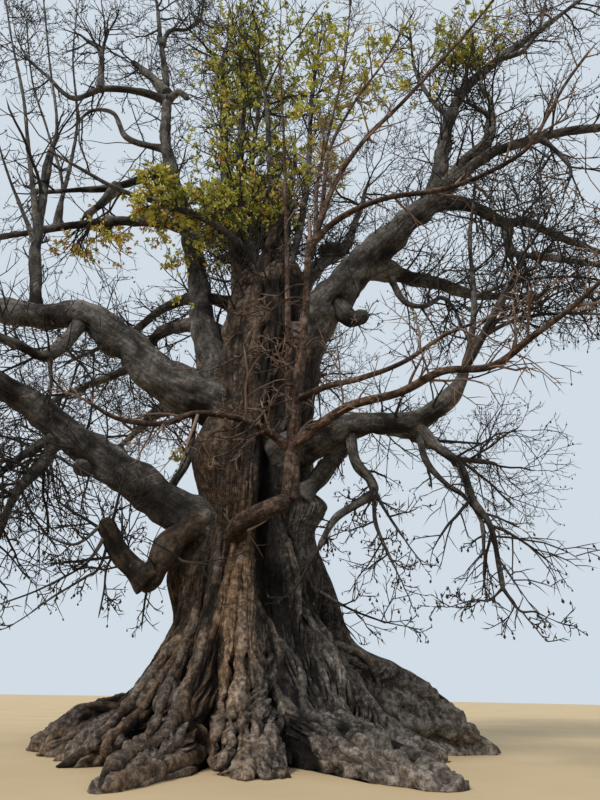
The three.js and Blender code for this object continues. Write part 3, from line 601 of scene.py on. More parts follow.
close_relief = stands_out(fine_radius[:, :-1], FINE_TURN, CLOSE_SPAN)
broad_relief = np.clip(stands_out(fine_radius[:, :-1], FINE_TURN), DEEPEST, PROUDEST)
fine_relief = BROAD_RELIEF * broad_relief + CLOSE_RELIEF * close_relief
fading = np.clip((WAIST - 1 - fine_heights) / 2, 0, 1)[:, None]
close_relief, fine_relief = (np.hstack([ring, ring[:, :1]]) for ring in (close_relief, fine_relief))
fine_radius = fine_radius + SHARPER * fading * close_relief


def sharp_radius(heading, height):
    """The sharpened radius at headings and heights, read between the rows and columns of the fine grid."""
    row = np.interp(height, fine_heights, np.arange(len(fine_heights)))
    column = ((heading - fine_headings[0]) % 360) / FINE_TURN
    row_low, column_low = row.astype(int), column.astype(int)
    row_high = np.minimum(row_low + 1, len(fine_heights) - 1)
    right, up = column - column_low, row - row_low
    below = fine_radius[row_low, column_low] * (1 - right) + fine_radius[row_low, column_low + 1] * right
    above = fine_radius[row_high, column_low] * (1 - right) + fine_radius[row_high, column_low + 1] * right
    return below * (1 - up) + above * up


print("measured at", fine_radius.size, "places, the furthest", fine_radius.max().round(2), "m out")

# %% Columns at even steps across each plank
ACROSS_STEP, BACK_COARSER = 0.075, 1.8
KNEE_HEIGHT, FEWEST_COLUMNS, MOST_COLUMNS = 0.5, 20, 90


def along_skin(first, second):
    """Length run along a row of points given by two coordinates, starting at nothing."""
    return np.concatenate([[0], np.cumsum(np.hypot(np.diff(first), np.diff(second)))])


def ring_run(radius):
    """Length run round a ring of the fine grid."""
    return along_skin(radius * np.cos(fine_turn), radius * np.sin(fine_turn))


fine_turn = np.radians(fine_headings)
knee_run = ring_run(fine_radius[np.searchsorted(fine_heights, KNEE_HEIGHT)])
cell_run = np.diff(np.interp(valleys, fine_headings, knee_run))
facing = np.sin(np.radians((valleys[:-1] + valleys[1:]) / 2)) < 0.25
cell_step = np.where(facing, ACROSS_STEP, BACK_COARSER * ACROSS_STEP)
cell_columns = np.clip(cell_run / cell_step, FEWEST_COLUMNS, MOST_COLUMNS).astype(int)
cell_starts = np.concatenate([[0], np.cumsum(cell_columns)])
columns = int(cell_starts[-1])
column_cells = np.interp(np.arange(columns), cell_starts, np.arange(len(cell_starts)))

row_headings = np.empty((len(fine_heights), columns))
row_radius = np.empty_like(row_headings)
row_relief = np.empty_like(row_headings)
for row, radius in enumerate(fine_radius):
    run = ring_run(radius)
    at_valleys = np.interp(valleys, fine_headings, run)
    wanted = np.interp(column_cells, np.arange(len(valleys)), at_valleys)
    row_headings[row] = np.interp(wanted, run, fine_headings)
    row_radius[row] = np.interp(wanted, run, radius)
    row_relief[row] = np.interp(wanted, run, fine_relief[row])
print("lower trunk:", columns, "columns round", len(valleys) - 1, "planks")

# %% Rows at even steps down each column
DOWN_STEP = 0.065
skin = on_trunk(row_headings, row_radius, np.broadcast_to(fine_heights[:, None], row_headings.shape))
fall = np.linalg.norm(np.diff(skin, axis=0), axis=-1)
run_down = np.vstack([np.zeros(columns), np.cumsum(fall, axis=0)])
rows = int(np.percentile(run_down[-1], 80) / DOWN_STEP)
lower = np.empty((rows, columns, 3))
lower_relief = np.empty((rows, columns))
for column in range(columns):
    even = np.linspace(0, run_down[-1, column], rows)
    lower_relief[:, column] = np.interp(even, run_down[:, column], row_relief[:, column])
    for axis in range(3):
        lower[:, column, axis] = np.interp(even, run_down[:, column], skin[:, column, axis])
lower_run = np.linspace(0, 1, rows)[:, None] * run_down[-1]
print("lower trunk:", rows, "rows")

# %% [markdown]
# Close to, the roots are knobbly, as if poured and set. Knobs of two sizes are pushed out along the
# skin's own normals, largest at the ground, and fine fibres run down the rest. Pushing along the normals
# keeps a knob round on a steep flank, where pushing outwards would smear it.

# %% Knobs and fibres on the skin
# How much the fibres and the ropy knobs are stretched along the root.
GRAIN_RUN, ROPE = 0.22, 0.42
TRUNK_GRAIN, LOWER_TURNS = 3.0, 3
# Sizes of the knobs in metres, with the seed of each, and where a knob's skin is neither in nor out.
BIG, SMALL, PIT, BURL, LEVEL, BURL_LEVEL = (0.4, 11), (0.2, 12), (0.11, 16), (1.2, 15), 0.45, 0.4
# How far each is pushed out above the roots, and how much further at the ground.
BIG_PUSH, BIG_MORE, SMALL_PUSH, SMALL_MORE, PIT_MORE = 0.02, 0.15, 0.012, 0.085, 0.05
BROAD_PUSH, FIBRE_PUSH, BURL_PUSH = 0.05, 0.022, 0.15
KNOBS_TOP, BURLS_FROM, BURLS_OVER = 3.4, 10, 3


def skin_normals(grid):
    """Normals of a closed grid: the step to the next column crossed with the step to the next row."""
    beside = np.roll(grid, -1, 1) - np.roll(grid, 1, 1)
    above = np.gradient(grid, axis=0)
    return unit(np.cross(beside, above))


def carve(grid, grain):
    """The grid with its relief, and how far each point was pushed out: knobs that are largest near the
    ground, fibres along the grain, and burls near the top."""
    height = grid[..., 2]
    near_ground = np.clip(1 - height / KNOBS_TOP, 0, 1)
    near_top = np.clip((height - BURLS_FROM) / BURLS_OVER, 0, 1)
    ropes = grain * np.array([1.0, 1.0, ROPE / GRAIN_RUN])
    big, small = knobs(ropes, *BIG) - LEVEL, knobs(ropes, *SMALL) - LEVEL
    push = big * (BIG_PUSH + BIG_MORE * near_ground) + small * (SMALL_PUSH + SMALL_MORE * near_ground)
    push += (knobs(grid, *PIT) - LEVEL) * PIT_MORE * near_ground
    broad, fibre, burls = noise(grid / 1.5, 13), noise(grain * 5, 14), knobs(grid, *BURL) - BURL_LEVEL
    push += broad * BROAD_PUSH + fibre * FIBRE_PUSH + burls * BURL_PUSH * near_top
    return grid + skin_normals(grid) * push[..., None], push


def trunk_grain(turn, run):
    """Places for fibres that run down the skin: round a circle across it, and stretched along it."""
    turn, run = np.broadcast_arrays(turn, run)
    return np.stack([TRUNK_GRAIN * np.cos(turn), TRUNK_GRAIN * np.sin(turn), run * GRAIN_RUN], -1)


column_turn = 2 * np.pi * np.arange(columns) / columns
lower_grain = trunk_grain(column_turn[None] * LOWER_TURNS, lower_run)
lower, lower_push = carve(lower, lower_grain)
lower[..., 2] = np.maximum(lower[..., 2], 0)
lower[0, :, 2] = 0
print("knobs push the skin from", lower_push.min().round(3), "to", lower_push.max().round(3))

# %% [markdown]
# Deep folds look nearly black in soft light. The light alone would leave them too grey, so each point is
# told how far it stands out of its surroundings, and painted shade darkens what doesn't. Some folds and
# hollows are deeper in shade than their shape alone gives, so painted shade is put on these one by one.
# The value is stored on the tree's skin, whichever way the camera faces.

# %% What stands out, where shade is painted, and where the bark is brown
# Painted shade on folds that little light reaches: heading, half width, middle and half height, and how dark.
SHADES = [
    (292, 14, 5.2, 2.2, 0.42), (303, 13, 2.4, 2.0, 0.4), (294, 21, 7.6, 2.2, 0.42),
    (290, 22, 10.2, 2.4, 0.36), (253, 4.5, 3.3, 1.3, 0.5), (259.5, 4, 1.7, 1.1, 0.5),
    (202, 24, 0.8, 1.8, 0.18), (266, 16, 0.5, 0.8, 0.14), (228, 18, 1.0, 1.5, 0.1),
]
# The flanks of the toes are lit from this distance on, where no other root stands close, so less shade is
# painted on them.
LIT_TOES, TOES_OVER = 4.9, 1.2
NEIGHBOUR_COLUMNS, NEIGHBOUR_ROWS, STANDING_RANGE = 9, 3, 0.6
STANDING_SHARE, KNOB_SHARE, TOP_SHADE = 0.6, 3.4, 0.2
# Brown bark: the heading of its middle and its half width, and the height of its middle and its reach.
BROWN_HEADING, BROWN_WIDE, BROWN_HEIGHT, BROWN_TALL = 225, 62, 5, 16


def patch(grid, middle, wide, at, tall):
    """A share from 0 to 1 over a patch of skin: exp(-(turn/wide)^4 - (rise/tall)^4)."""
    return np.exp(-(turn_between(heading_of(grid), middle) / wide) ** 4 - ((grid[..., 2] - at) / tall) ** 4)


def shade_at(points):
    """How much painted shade darkens each point: the deepest of the shades there."""
    shade = np.zeros(points.shape[:-1])
    for *where, dark in SHADES:
        shade = np.maximum(shade, dark * patch(points, *where))
    return shade


def standing(grid, reach_columns, reach_rows):
    """How far each point stands out, from 0 in a fold to 1 on a crest: its distance from the axis less the
    mean of its surroundings, over 60 cm."""
    distance = np.hypot(grid[..., 0] - trunk_axis(grid[..., 2]), grid[..., 1])
    shifts = range(-reach_columns, reach_columns + 1, 3)
    wide = sum(np.roll(distance, shift, 1) for shift in shifts) / len(shifts)
    padded = np.pad(wide, ((reach_rows, reach_rows), (0, 0)), mode="edge")
    rows_round = range(0, 2 * reach_rows + 1, 2)
    tall = sum(padded[shift:shift + len(wide)] for shift in rows_round) / len(rows_round)
    return np.clip(0.5 + (distance - tall) / STANDING_RANGE, 0, 1)


def crest_of(relief, grid, push):
    """Crest values from 0 to 1: a half, and how far the plank stands out over a metre, its surroundings over
    a hand's breadth, and the knobs themselves, less painted shade near the top of the trunk and in the named
    folds."""
    near_top = np.clip((grid[..., 2] - 9.5) / 2.5, 0, 1)
    out = relief * (1 - 0.6 * near_top)
    lit = np.clip((LIT_TOES - np.hypot(grid[..., 0], grid[..., 1])) / TOES_OVER, 0.15, 1)
    out = np.where(out < 0, out * lit, out)
    around = STANDING_SHARE * (standing(grid, NEIGHBOUR_COLUMNS, NEIGHBOUR_ROWS) - 0.5)
    shade = TOP_SHADE * near_top + shade_at(grid)
    return np.clip(0.5 + out + around + KNOB_SHARE * push - shade, 0, 1)


def warmth(grid):
    """How brown the bark is: the roots at the left and the front, the bulge above them and the top of the
    trunk. The right flank stays grey."""
    height = grid[..., 2]
    left = np.exp(-(turn_between(heading_of(grid), BROWN_HEADING) / BROWN_WIDE) ** 4)
    top = np.clip((height - 8) / 4, 0, 1)
    return np.maximum(left * np.clip(1.1 - np.abs(height - BROWN_HEIGHT) / BROWN_TALL, 0, 1), 0.9 * top)


lower_stand = crest_of(lower_relief, lower, lower_push)
print("a tenth of the roots' skin has a crest value below", np.percentile(lower_stand, 10).round(2))

# %% [markdown]
# Dust lies on the roots near the ground, and the broad plank at the front is made paler. Both are shares
# that are stored on the skin, like the crest, so the finish can mix its dust colour in where they say.

# %% Dust at the ground, and the paler front plank
DUST_TOP, DUST_FADE, MOST_DUST = 0.9, 1.2, 0.8
DUST_EVERYWHERE, DUST_ON_CRESTS = 0.1, 0.35
# The paler patch: heading, half width in degrees, and middle and half height.
PALER_PLANK, PLANK_PALENESS = (269, 10, 3.4, 3.2), 0.8


def dust_on(grid, stand):
    """Dust lies at the ground, most on what stands out, and the broad plank at the front is made paler."""
    low = np.clip(1 - grid[..., 2] / DUST_TOP, 0, 1)
    dusty = low ** DUST_FADE * (DUST_EVERYWHERE + DUST_ON_CRESTS * stand)
    return np.clip(dusty + PLANK_PALENESS * patch(grid, *PALER_PLANK), 0, MOST_DUST)


lower_values = {
    "grain": lower_grain, "crest": lower_stand, "dust": dust_on(lower, lower_stand), "warm": warmth(lower),
}
print("the dustiest place has a share of", lower_values["dust"].max().round(2))

# %% [markdown]
# ## Closing the lower trunk
# The lower trunk has too many faces for one piece, so it is cut like a cake. Each slice keeps its own
# skin and is closed by two walls to the axis, a floor and a lid. The cuts run down valleys, where nobody
# can see them, and the walls are shaded flat so that they don't tint the skin beside them.

# %% Three slices
# The valleys where the front's left and right slices and the back one start.
CUT_VALLEYS = (8, 13, 19)


def slice_piece(name, grid, first, last, values):
    """A closed slice of a grid between two columns: skin, walls to the axis, floor and lid."""
    index = np.arange(first, last + 1) % grid.shape[1]
    part = grid[:, index]
    count, wide = part.shape[:2]
    middle = np.stack([trunk_axis(part[:, 0, 2]), np.zeros(count), part[:, 0, 2]], -1)
    points = np.vstack([part.reshape(-1, 3), middle])
    outer = grid_faces(count, wide, closed=False)
    row = np.arange(count - 1)
    hub = count * wide + row
    first_wall = np.stack([hub, row * wide, (row + 1) * wide, hub + 1], -1)
    last_wall = np.stack([row * wide + wide - 1, hub, hub + 1, (row + 1) * wide + wide - 1], -1)
    side = np.arange(wide - 1)
    top = (count - 1) * wide
    floor = fan(count * wide, side + 1, side)
    lid = fan(count * wide + count - 1, top + side, top + side + 1)
    flat = np.arange(len(outer) + 2 * len(row) + 2 * (wide - 1)) >= len(outer)
    kept_values = {}
    for key, value in values.items():
        on_skin = value[:, index].reshape(count * wide, *value.shape[2:])
        kept_values[key] = np.concatenate([on_skin, np.zeros((count, *value.shape[2:]))])
    add_piece(name, points, [np.vstack([outer, first_wall, last_wall]), np.vstack([floor, lid])],
              trunk_bark, ["trunk"], flat, kept_values)


left_cut, right_cut, back_cut = (int(cell_starts[place]) for place in CUT_VALLEYS)
slice_piece("trunk_front_left", lower, left_cut, right_cut, lower_values)
slice_piece("trunk_front_right", lower, right_cut, back_cut, lower_values)
slice_piece("trunk_back", lower, back_cut, left_cut + columns, lower_values)

# %% [markdown]
# ## The upper trunk
# Above the waist the planks are gone and the trunk is a fluted column, so an even grid serves. It starts
# a little inside the lower trunk's skin, which hides the join, and ends in a blunt crown.

# %% The upper trunk
UPPER_ROWS, UPPER_COLUMNS = 150, 540
OVERLAP, INSIDE = 0.12, 0.05
CROWN_SHARES = (0.2, 0.45, 0.7, 0.9)

upper_heights = np.linspace(WAIST - OVERLAP, TRUNK_TOP, UPPER_ROWS)
upper_headings = np.linspace(0, 360, UPPER_COLUMNS, endpoint=False)
turn_grid, height_grid = np.meshgrid(upper_headings, upper_heights)
upper_radius = skin_radius(turn_grid, height_grid)
upper_radius[0] -= INSIDE
upper = on_trunk(turn_grid, upper_radius, height_grid)
upper_grain = trunk_grain(np.radians(turn_grid), height_grid)
upper, upper_push = carve(upper, upper_grain)
upper_relief = BROAD_RELIEF * stands_out(upper_radius, 360 / UPPER_COLUMNS)
upper_stand = crest_of(upper_relief, upper, upper_push)
upper_warm = warmth(upper)

crown_rings = []
for share in CROWN_SHARES:
    ring = upper[-1].copy()
    ring[:, :2] += (np.array([LEAN_OUT, 0]) - ring[:, :2]) * share
    ring[:, 2] += TRUNK_CROWN * np.sqrt(1 - (1 - share) ** 2)
    crown_rings.append(ring)
upper = np.vstack([upper, crown_rings])
upper_grain, upper_stand, upper_warm = (
    np.vstack([value, np.repeat(value[-1:], len(CROWN_SHARES), 0)])
    for value in (upper_grain, upper_stand, upper_warm)
)
count, wide = upper.shape[:2]
ends = np.array([[trunk_axis(upper_heights[0]), 0, upper_heights[0]], [LEAN_OUT, 0, TRUNK_TOP + TRUNK_CROWN]])
upper_values = {
    "grain": np.vstack([upper_grain.reshape(-1, 3), np.zeros((2, 3))]),
    "crest": np.append(upper_stand.ravel(), [0.5, 0.5]),
    "dust": np.zeros(count * wide + 2),
    "warm": np.append(upper_warm.ravel(), [0, 0]),
}
points = np.vstack([upper.reshape(-1, 3), ends])
faces = [grid_faces(count, wide), end_fans(count, wide)]
add_piece("trunk_upper", points, faces, trunk_bark, ["trunk"], None, upper_values)

# %% [markdown]
# ## The boughs
# Each bough is one tapering limb that bends from stretch to stretch. Its middle line is a smooth curve
# through the ends of its stretches, and its skin is a profile carried along that line. A chain of cones
# would kink at each joint. Its last stretch goes on into the stem of its twigs, so the taper never stops.

# %% Courses of the boughs
def entries_in(text):
    """The entries of a table in plain text, one to a line, with their parts. Longer ones go on indented."""
    return [entry.split("; ") for entry in text.strip().replace("\n    ", " ").split("\n")]


def number_in(text):
    """A number from its text: a whole one where it has no point."""
    return float(text) if "." in text else int(text)


def rows_in(text):
    """Rows of numbers, with commas between the rows."""
    return [[number_in(value) for value in row.split()] for row in text.split(", ")]


def limbs_in(text):
    """Each limb's name and what it leaves; its height, heading and distance out there, or its share of a
    bough's length; its radius at foot and tip; and its stretches, each with a length, heading and climb."""
    limbs = {}
    for borne, thick, stretches in entries_in(text):
        name, carrier, place = borne.replace(":", "").split(maxsplit=2)
        limbs[name] = (carrier, rows_in(place)[0], rows_in(thick)[0], rows_in(stretches))
    return limbs


BOUGHS = limbs_in("""
left_low: trunk 5.7 210 0.8; 0.72 0.34; 1.7 199 25, 1.9 194 31, 1.8 191 30, 2.3 195 34, 2.3 205 18
left_low_fork: left_low 0.67; 0.2 0.1; 1.2 223 -78, 1.3 233 -61, 1.6 258 -75
left_elbow: trunk 6.4 215 1; 0.46 0.26; 1.7 216 -32, 1.8 217 -63
left_elbow_arm: left_elbow 0.93; 0.3 0.27; 1.2 190 42, 1 211 56
left_high: trunk 10 201 0.9; 0.8 0.36; 1.5 195 17, 1.5 193 29, 1.7 191 37, 1.6 186 31, 1.5 184 0,
    2.5 176 8
left_riser: left_high 0.84; 0.23 0.17; 2.3 181 76, 1.6 156 81
left_high_fork: left_high 0.66; 0.22 0.1; 2.2 236 -63, 1.1 226 -3, 1.4 214 8
left_back_high: trunk 14.6 168 1; 0.25 0.12; 2.1 165 24, 2.1 145 6, 1.8 137 -6, 2.2 140 2
left_back_low: trunk 12.9 167 0.9; 0.32 0.15; 2.3 162 34, 1.9 155 4, 1.8 143 -34, 2.4 150 -7
crown_left: trunk 10.6 190 1.2; 0.52 0.13; 2.5 180 67, 2.1 154 77, 3 164 76, 3.3 169 72, 3.2 159 74,
    3.6 153 83, 3.7 173 79
crown_left_arm: crown_left 0.83; 0.2 0.08; 1.3 188 17, 1.7 191 -8, 1.6 188 -35, 2 184 44
left_beam: crown_left 0.465; 0.26 0.12; 2 184 3, 2.3 183 -9, 2.2 182 -15
left_beam_upper: crown_left 0.62; 0.24 0.12; 1.3 185 -29, 1.4 190 -33, 1.4 184 -11
crown_centre: trunk 15 172 0.7; 0.26 0.15; 3.5 162 74, 4.6 159 80, 5.7 149 84
right_great: trunk 12.2 350 0.7; 0.82 0.42; 2.6 352 58, 2.4 351 50, 2.2 352 47, 2.3 352 44
right_great_up: right_great 0.95; 0.32 0.13; 2.3 354 77, 2.5 0 78, 2.3 6 64, 2.8 6 52, 3.1 3 46
right_pale: right_great 0.98; 0.3 0.19; 1.7 337 51, 1.5 349 45, 1.5 344 76
right_long: right_great 0.97; 0.24 0.12; 2.3 332 31, 1.7 346 16, 1.7 346 5, 2 354 2
right_drop: right_great 0.93; 0.3 0.1; 1.7 11 6, 1.5 9 -25, 1.2 20 19, 2.1 28 2, 2.2 25 3
right_drop_low: right_drop 0.43; 0.18 0.1; 1.8 241 -77, 1.5 311 -39, 1.9 325 -34
right_under: right_great 0.5; 0.38 0.14; 2 32 6, 2.1 33 14, 2.1 32 8, 2.8 32 20
right_back: trunk 14.3 26 0.7; 0.4 0.16; 2.7 55 63, 2 47 57, 1.9 38 48, 2.9 52 66
right_low: trunk 8.2 322 1; 0.56 0.14; 1.8 332 18, 1.2 336 10, 1.7 331 -8, 1.3 324 23, 0.9 318 53
right_hang: right_low 0.6; 0.15 0.07; 1.1 330 -58, 0.9 342 -47, 1 308 -75, 0.9 330 -65, 1.6 278 -82
red_bridge: trunk 5.5 262 1.2; 0.27 0.24; 1.3 270 2, 0.9 320 18, 1 8 26
red_stem: red_bridge 0.97; 0.22 0.1; 1.5 276 79, 1.2 304 85, 1.7 359 86, 1.9 322 85, 2.3 304 87
red_arm: red_stem 0.2; 0.14 0.08; 1.8 334 28, 1.6 330 4, 1.2 330 16, 1.3 325 -10, 1.2 328 27
red_climber: red_stem 0.94; 0.1 0.06; 2.9 333 71, 2 339 57, 2 351 50, 2.7 346 50
leaf_stem: trunk 15.2 275 0.4; 0.18 0.12; 2.2 262 80, 2.2 235 86, 2 225 84
leaf_arm: trunk 15.3 215 0.4; 0.18 0.1; 1.7 232 42, 1.8 197 30, 1.8 188 16
back_left: trunk 9.6 128 0.8; 0.62 0.2; 2.6 130 38, 3.2 122 26, 3.2 130 14, 2.4 120 4
back_middle: trunk 11.6 82 0.6; 0.56 0.18; 2.8 84 50, 3.2 76 38, 3.2 86 26, 2.4 78 12
back_right: trunk 9 44 0.8; 0.56 0.18; 2.6 46 32, 3 38 22, 3.2 48 10, 2.2 40 -4
back_top: trunk 14.4 100 0.3; 0.42 0.15; 3 95 72, 3.4 72 66, 3.4 88 64, 3 78 70
""")
print(len(BOUGHS), "boughs")

# %% [markdown]
# Smaller limbs, such as stubs, risers and hanging whips, give the crown its own outline. The solid model
# leaves them out. They are written down one by one, because a rule would put them somewhere else.

# %% Courses of the side limbs
SIDE_LIMBS = limbs_in("""
low_stub: left_low 0.47; 0.32 0.25; 0.5 191 -2, 0.6 192 -30
strut_behind: left_low 0.25; 0.15 0.1; 1 86 52, 0.9 32 66, 1.4 41 84, 1 299 90
low_side: left_low 0.66; 0.15 0.07; 1.3 216 -48, 1 232 -53, 1.2 238 -65
fork_stub: left_high_fork 0.33; 0.13 0.09; 0.5 324 -70
crown_wave: crown_left 0.69; 0.17 0.05; 0.9 174 16, 1.2 185 23, 1.6 187 62, 1 186 0, 1.3 190 -63
crown_knob: crown_left 0.85; 0.22 0.14; 1.9 169 56, 1.7 175 48
crown_stump: crown_left 0.83; 0.17 0.13; 0.7 339 30, 0.8 351 -47
crown_side: crown_left 1; 0.13 0.05; 1.4 21 78, 1 14 31, 1.2 9 61, 2.2 92 87
arm_riser: crown_left_arm 0.53; 0.15 0.1; 2.8 180 81, 1.4 174 48
arm_riser_tip: arm_riser 0.44; 0.09 0.05; 1.2 0 90, 1.1 180 86
beam_drop: left_beam_upper 0.61; 0.2 0.13; 1.3 190 -64, 0.9 192 -56
riser_one: left_riser 0.96; 0.1 0.03; 4 191 74, 3.5 179 74, 4.2 176 70, 4 176 72
riser_two: left_riser 0.83; 0.1 0.03; 4.8 148 83, 2.1 159 83, 4.2 175 74, 5.5 176 75
riser_three: left_riser 0.75; 0.09 0.03; 1.5 212 60, 1.7 209 61, 2.2 193 66
riser_four: left_beam 0.82; 0.09 0.03; 4.3 120 85, 2.8 166 84, 4.1 180 77, 4.1 169 82
riser_five: left_beam 0.79; 0.08 0.03; 3.1 146 76, 3.7 168 67, 4 173 67, 5 176 74
right_stub: right_great 0.3; 0.36 0.27; 1.3 334 -60, 0.7 342 1
right_burl: right_back 0.69; 0.44 0.4; 0.4 194 17, 0.6 193 -34
long_side: right_long 0.58; 0.1 0.05; 1.4 341 -65, 0.8 319 -78, 0.8 199 -69
pale_on: right_pale 0.97; 0.13 0.06; 1 0 86, 1.1 153 78, 1.6 50 81
pale_hook: right_pale 0.87; 0.12 0.1; 0.5 225 58, 0.5 195 24
up_riser: right_great_up 0.81; 0.12 0.05; 1 342 4, 1.8 354 57, 1.9 351 73
up_side: right_great_up 0.4; 0.12 0.06; 1.8 155 66, 2.2 158 77, 2.9 95 86
under_wave: right_under 0.14; 0.12 0.05; 1.7 328 -70, 0.8 353 -21, 0.7 350 27, 0.6 345 -51, 1 315 -74
inner_hang: right_low 0.61; 0.11 0.04; 1.3 298 -80, 0.9 349 -56, 0.6 334 -42, 0.8 344 -62, 0.9 236 -82
mid_hang: right_low 0.34; 0.18 0.13; 1.2 298 -79, 0.8 348 -55, 0.5 307 -76
mid_hang_left: mid_hang 0.97; 0.13 0.07; 0.9 188 -32, 0.6 191 -40, 0.9 195 -62
mid_hang_down: mid_hang 0.97; 0.07 0.03; 0.8 254 -82, 0.7 336 -72, 0.8 340 -67
mid_hang_right: mid_hang 0.88; 0.06 0.03; 0.8 0 -63, 0.9 0 -58
low_riser: right_low 1; 0.12 0.05; 1.3 29 72, 1.6 35 77, 2.4 47 84, 2.3 26 77
long_reach_one: low_riser 0.2; 0.07 0.03; 1.6 345 22, 1.6 352 2, 1.6 346 -14
long_reach_two: low_riser 0.5; 0.06 0.03; 1.5 350 16, 1.5 342 -6, 1.5 350 -18
burl_strut: trunk 6.9 331 1.8; 0.3 0.24; 1.3 353 51, 1.1 324 39
low_twig: trunk 4.3 346 2; 0.05 0.02; 1.2 349 -29, 0.9 353 -21, 0.6 350 -14
hang_end_left: right_hang 0.99; 0.035 0.015; 0.5 195 -37, 0.4 194 -2, 0.5 192 -15
hang_end_right: right_hang 0.99; 0.04 0.015; 0.6 0 -57, 0.4 13 -3, 0.4 16 -19
elbow_twig_one: left_elbow_arm 0.96; 0.05 0.02; 0.8 218 -50, 0.4 207 -18, 0.7 207 16
elbow_twig_two: left_elbow_arm 0.83; 0.05 0.02; 1 224 -65, 0.8 211 -40, 0.7 198 -32, 0.8 197 -25
elbow_twig_three: left_elbow_arm 0.77; 0.045 0.02; 0.9 180 -81, 0.5 211 -43, 0.9 205 -38, 0.7 203 -43
elbow_twig_four: left_elbow_arm 0.55; 0.04 0.02; 0.6 144 -58, 0.6 52 -88, 0.7 185 -87
elbow_riser: left_elbow_arm 0.5; 0.05 0.02; 0.6 106 70, 1.2 153 79
red_stem_left: red_stem 0.19; 0.12 0.035; 1.9 128 82, 3.4 119 86, 3.3 128 86, 3.8 150 87, 5.5 151 86
red_arm_left: red_stem 0.18; 0.12 0.05; 1.3 195 30, 1.5 192 6, 1.1 197 -25, 1.1 196 -1, 0.9 208 19
red_arm_high: red_stem 0.42; 0.1 0.04; 1 329 12, 1.1 333 2, 1.2 334 11, 1.2 333 25, 0.9 328 9
red_far: red_stem 0.98; 0.1 0.04; 1.3 333 33, 1.5 340 15, 1.8 340 -6, 1.3 338 7, 1.4 341 25, 1.4 345 56,
    1.6 353 61, 1.8 354 56
climber_high: red_climber 0.13; 0.07 0.03; 3.3 48 83, 2.8 6 71, 3 0 63, 3.3 0 67
climber_steep: red_climber 0.07; 0.07 0.03; 3 80 80, 3.6 28 80, 3.8 19 81, 5 25 85
red_whip_one: red_stem 0.67; 0.035 0.012; 0.3 217 11, 0.7 199 15, 0.4 194 14, 0.7 189 0
red_whip_two: red_stem 0.66; 0.035 0.012; 0.5 205 -15, 0.7 205 -49, 0.6 206 -36, 0.4 194 -26
red_whip_three: red_stem 0.6; 0.035 0.012; 0.8 204 26, 0.7 199 -32, 0.7 192 -39, 0.5 194 -36, 0.6 192 -32,
    0.4 194 10
red_whip_four: red_stem 0.48; 0.04 0.012; 0.5 205 -15, 0.7 219 -64, 0.7 195 -53, 0.5 197 -53, 0.6 191 -26,
    0.5 192 9
red_whip_five: red_stem 0.43; 0.035 0.012; 0.8 204 -28, 0.7 201 -26, 0.3 196 -6, 0.4 195 5, 0.4 196 26
red_whip_six: red_arm_left 0.14; 0.035 0.012; 0.7 210 -31, 0.6 210 -47, 0.5 192 -27, 0.3 198 1
red_whip_seven: red_stem 0.58; 0.035 0.012; 0.6 204 -35, 0.7 190 -24, 0.4 194 -2, 0.5 194 31
red_whip_eight: red_stem 0.8; 0.035 0.012; 0.5 206 -10, 0.7 202 -42, 0.7 194 -58, 0.6 192 -44,
    0.6 192 -18
red_whip_nine: red_stem 0.85; 0.035 0.012; 0.5 203 -21, 0.8 203 -48, 0.7 195 -50, 0.7 189 -23, 0.5 190 12
red_whip_ten: red_stem 0.61; 0.03 0.012; 0.6 335 37, 0.5 337 -21, 0.5 346 28, 0.6 348 39
red_whip_eleven: red_arm_left 0.24; 0.03 0.012; 0.5 214 -47, 0.5 194 -16, 0.4 199 -49, 0.4 195 -2
red_whip_twelve: red_stem 0.38; 0.03 0.012; 0.5 218 -47, 0.4 194 -19, 0.4 200 -48, 0.7 194 -51,
    0.4 180 -23
crown_rib_left: trunk 7.6 233 0.7; 0.46 0.2; 2.8 233 77, 2.6 60 89, 2.4 100 83, 2.6 150 76
crown_rib_middle: trunk 8.4 268 0.7; 0.42 0.16; 2.6 262 76, 2.6 100 88, 2.4 60 82, 2.6 20 76
crown_rib_right: trunk 8.4 306 0.6; 0.44 0.2; 2.6 300 76, 2.8 140 88, 2.6 100 83, 2.2 60 74
crown_middle: trunk 14.6 248 1; 0.24 0.1; 3.2 147 77, 3.5 149 80, 4.9 121 86, 5.7 149 84
crown_low_one: trunk 15.9 265 0.6; 0.16 0.06; 2.4 142 78, 3.3 161 79, 4 66 87, 5.3 151 86
crown_low_two: trunk 15.3 307 0.9; 0.16 0.06; 2.7 29 77, 3.6 46 83, 4.8 65 86, 5.6 22 85
""")
LIMBS = {**BOUGHS, **SIDE_LIMBS}
print(len(SIDE_LIMBS), "side limbs")

# %% Where each limb goes
def towards(heading, climb):
    """Unit vector with a heading and a climb in degrees: cosines lay it level, the sine lifts it."""
    heading, climb = np.radians(heading), np.radians(climb)
    return np.array([np.cos(climb) * np.cos(heading), np.cos(climb) * np.sin(heading), np.sin(climb)])


def smooth_course(corners, shares):
    """Places at shares of a smooth curve through corners: between two corners a cubic whose slope at each is
    half the step from the corner before to the one after; the ends are mirrored."""
    corners = np.asarray(corners)
    padded = np.vstack([2 * corners[0] - corners[1], corners, 2 * corners[-1] - corners[-2]])
    spot = np.atleast_1d(shares) * (len(corners) - 1)
    index = np.minimum(spot.astype(int), len(corners) - 2)
    t = (spot - index)[:, None]
    start, end = padded[index + 1], padded[index + 2]
    leaving, arriving = (end - padded[index]) / 2, (padded[index + 3] - start) / 2
    return (start * (2 * t ** 3 - 3 * t ** 2 + 1) + leaving * (t ** 3 - 2 * t ** 2 + t)
            + end * (3 * t ** 2 - 2 * t ** 3) + arriving * (t ** 3 - t ** 2))


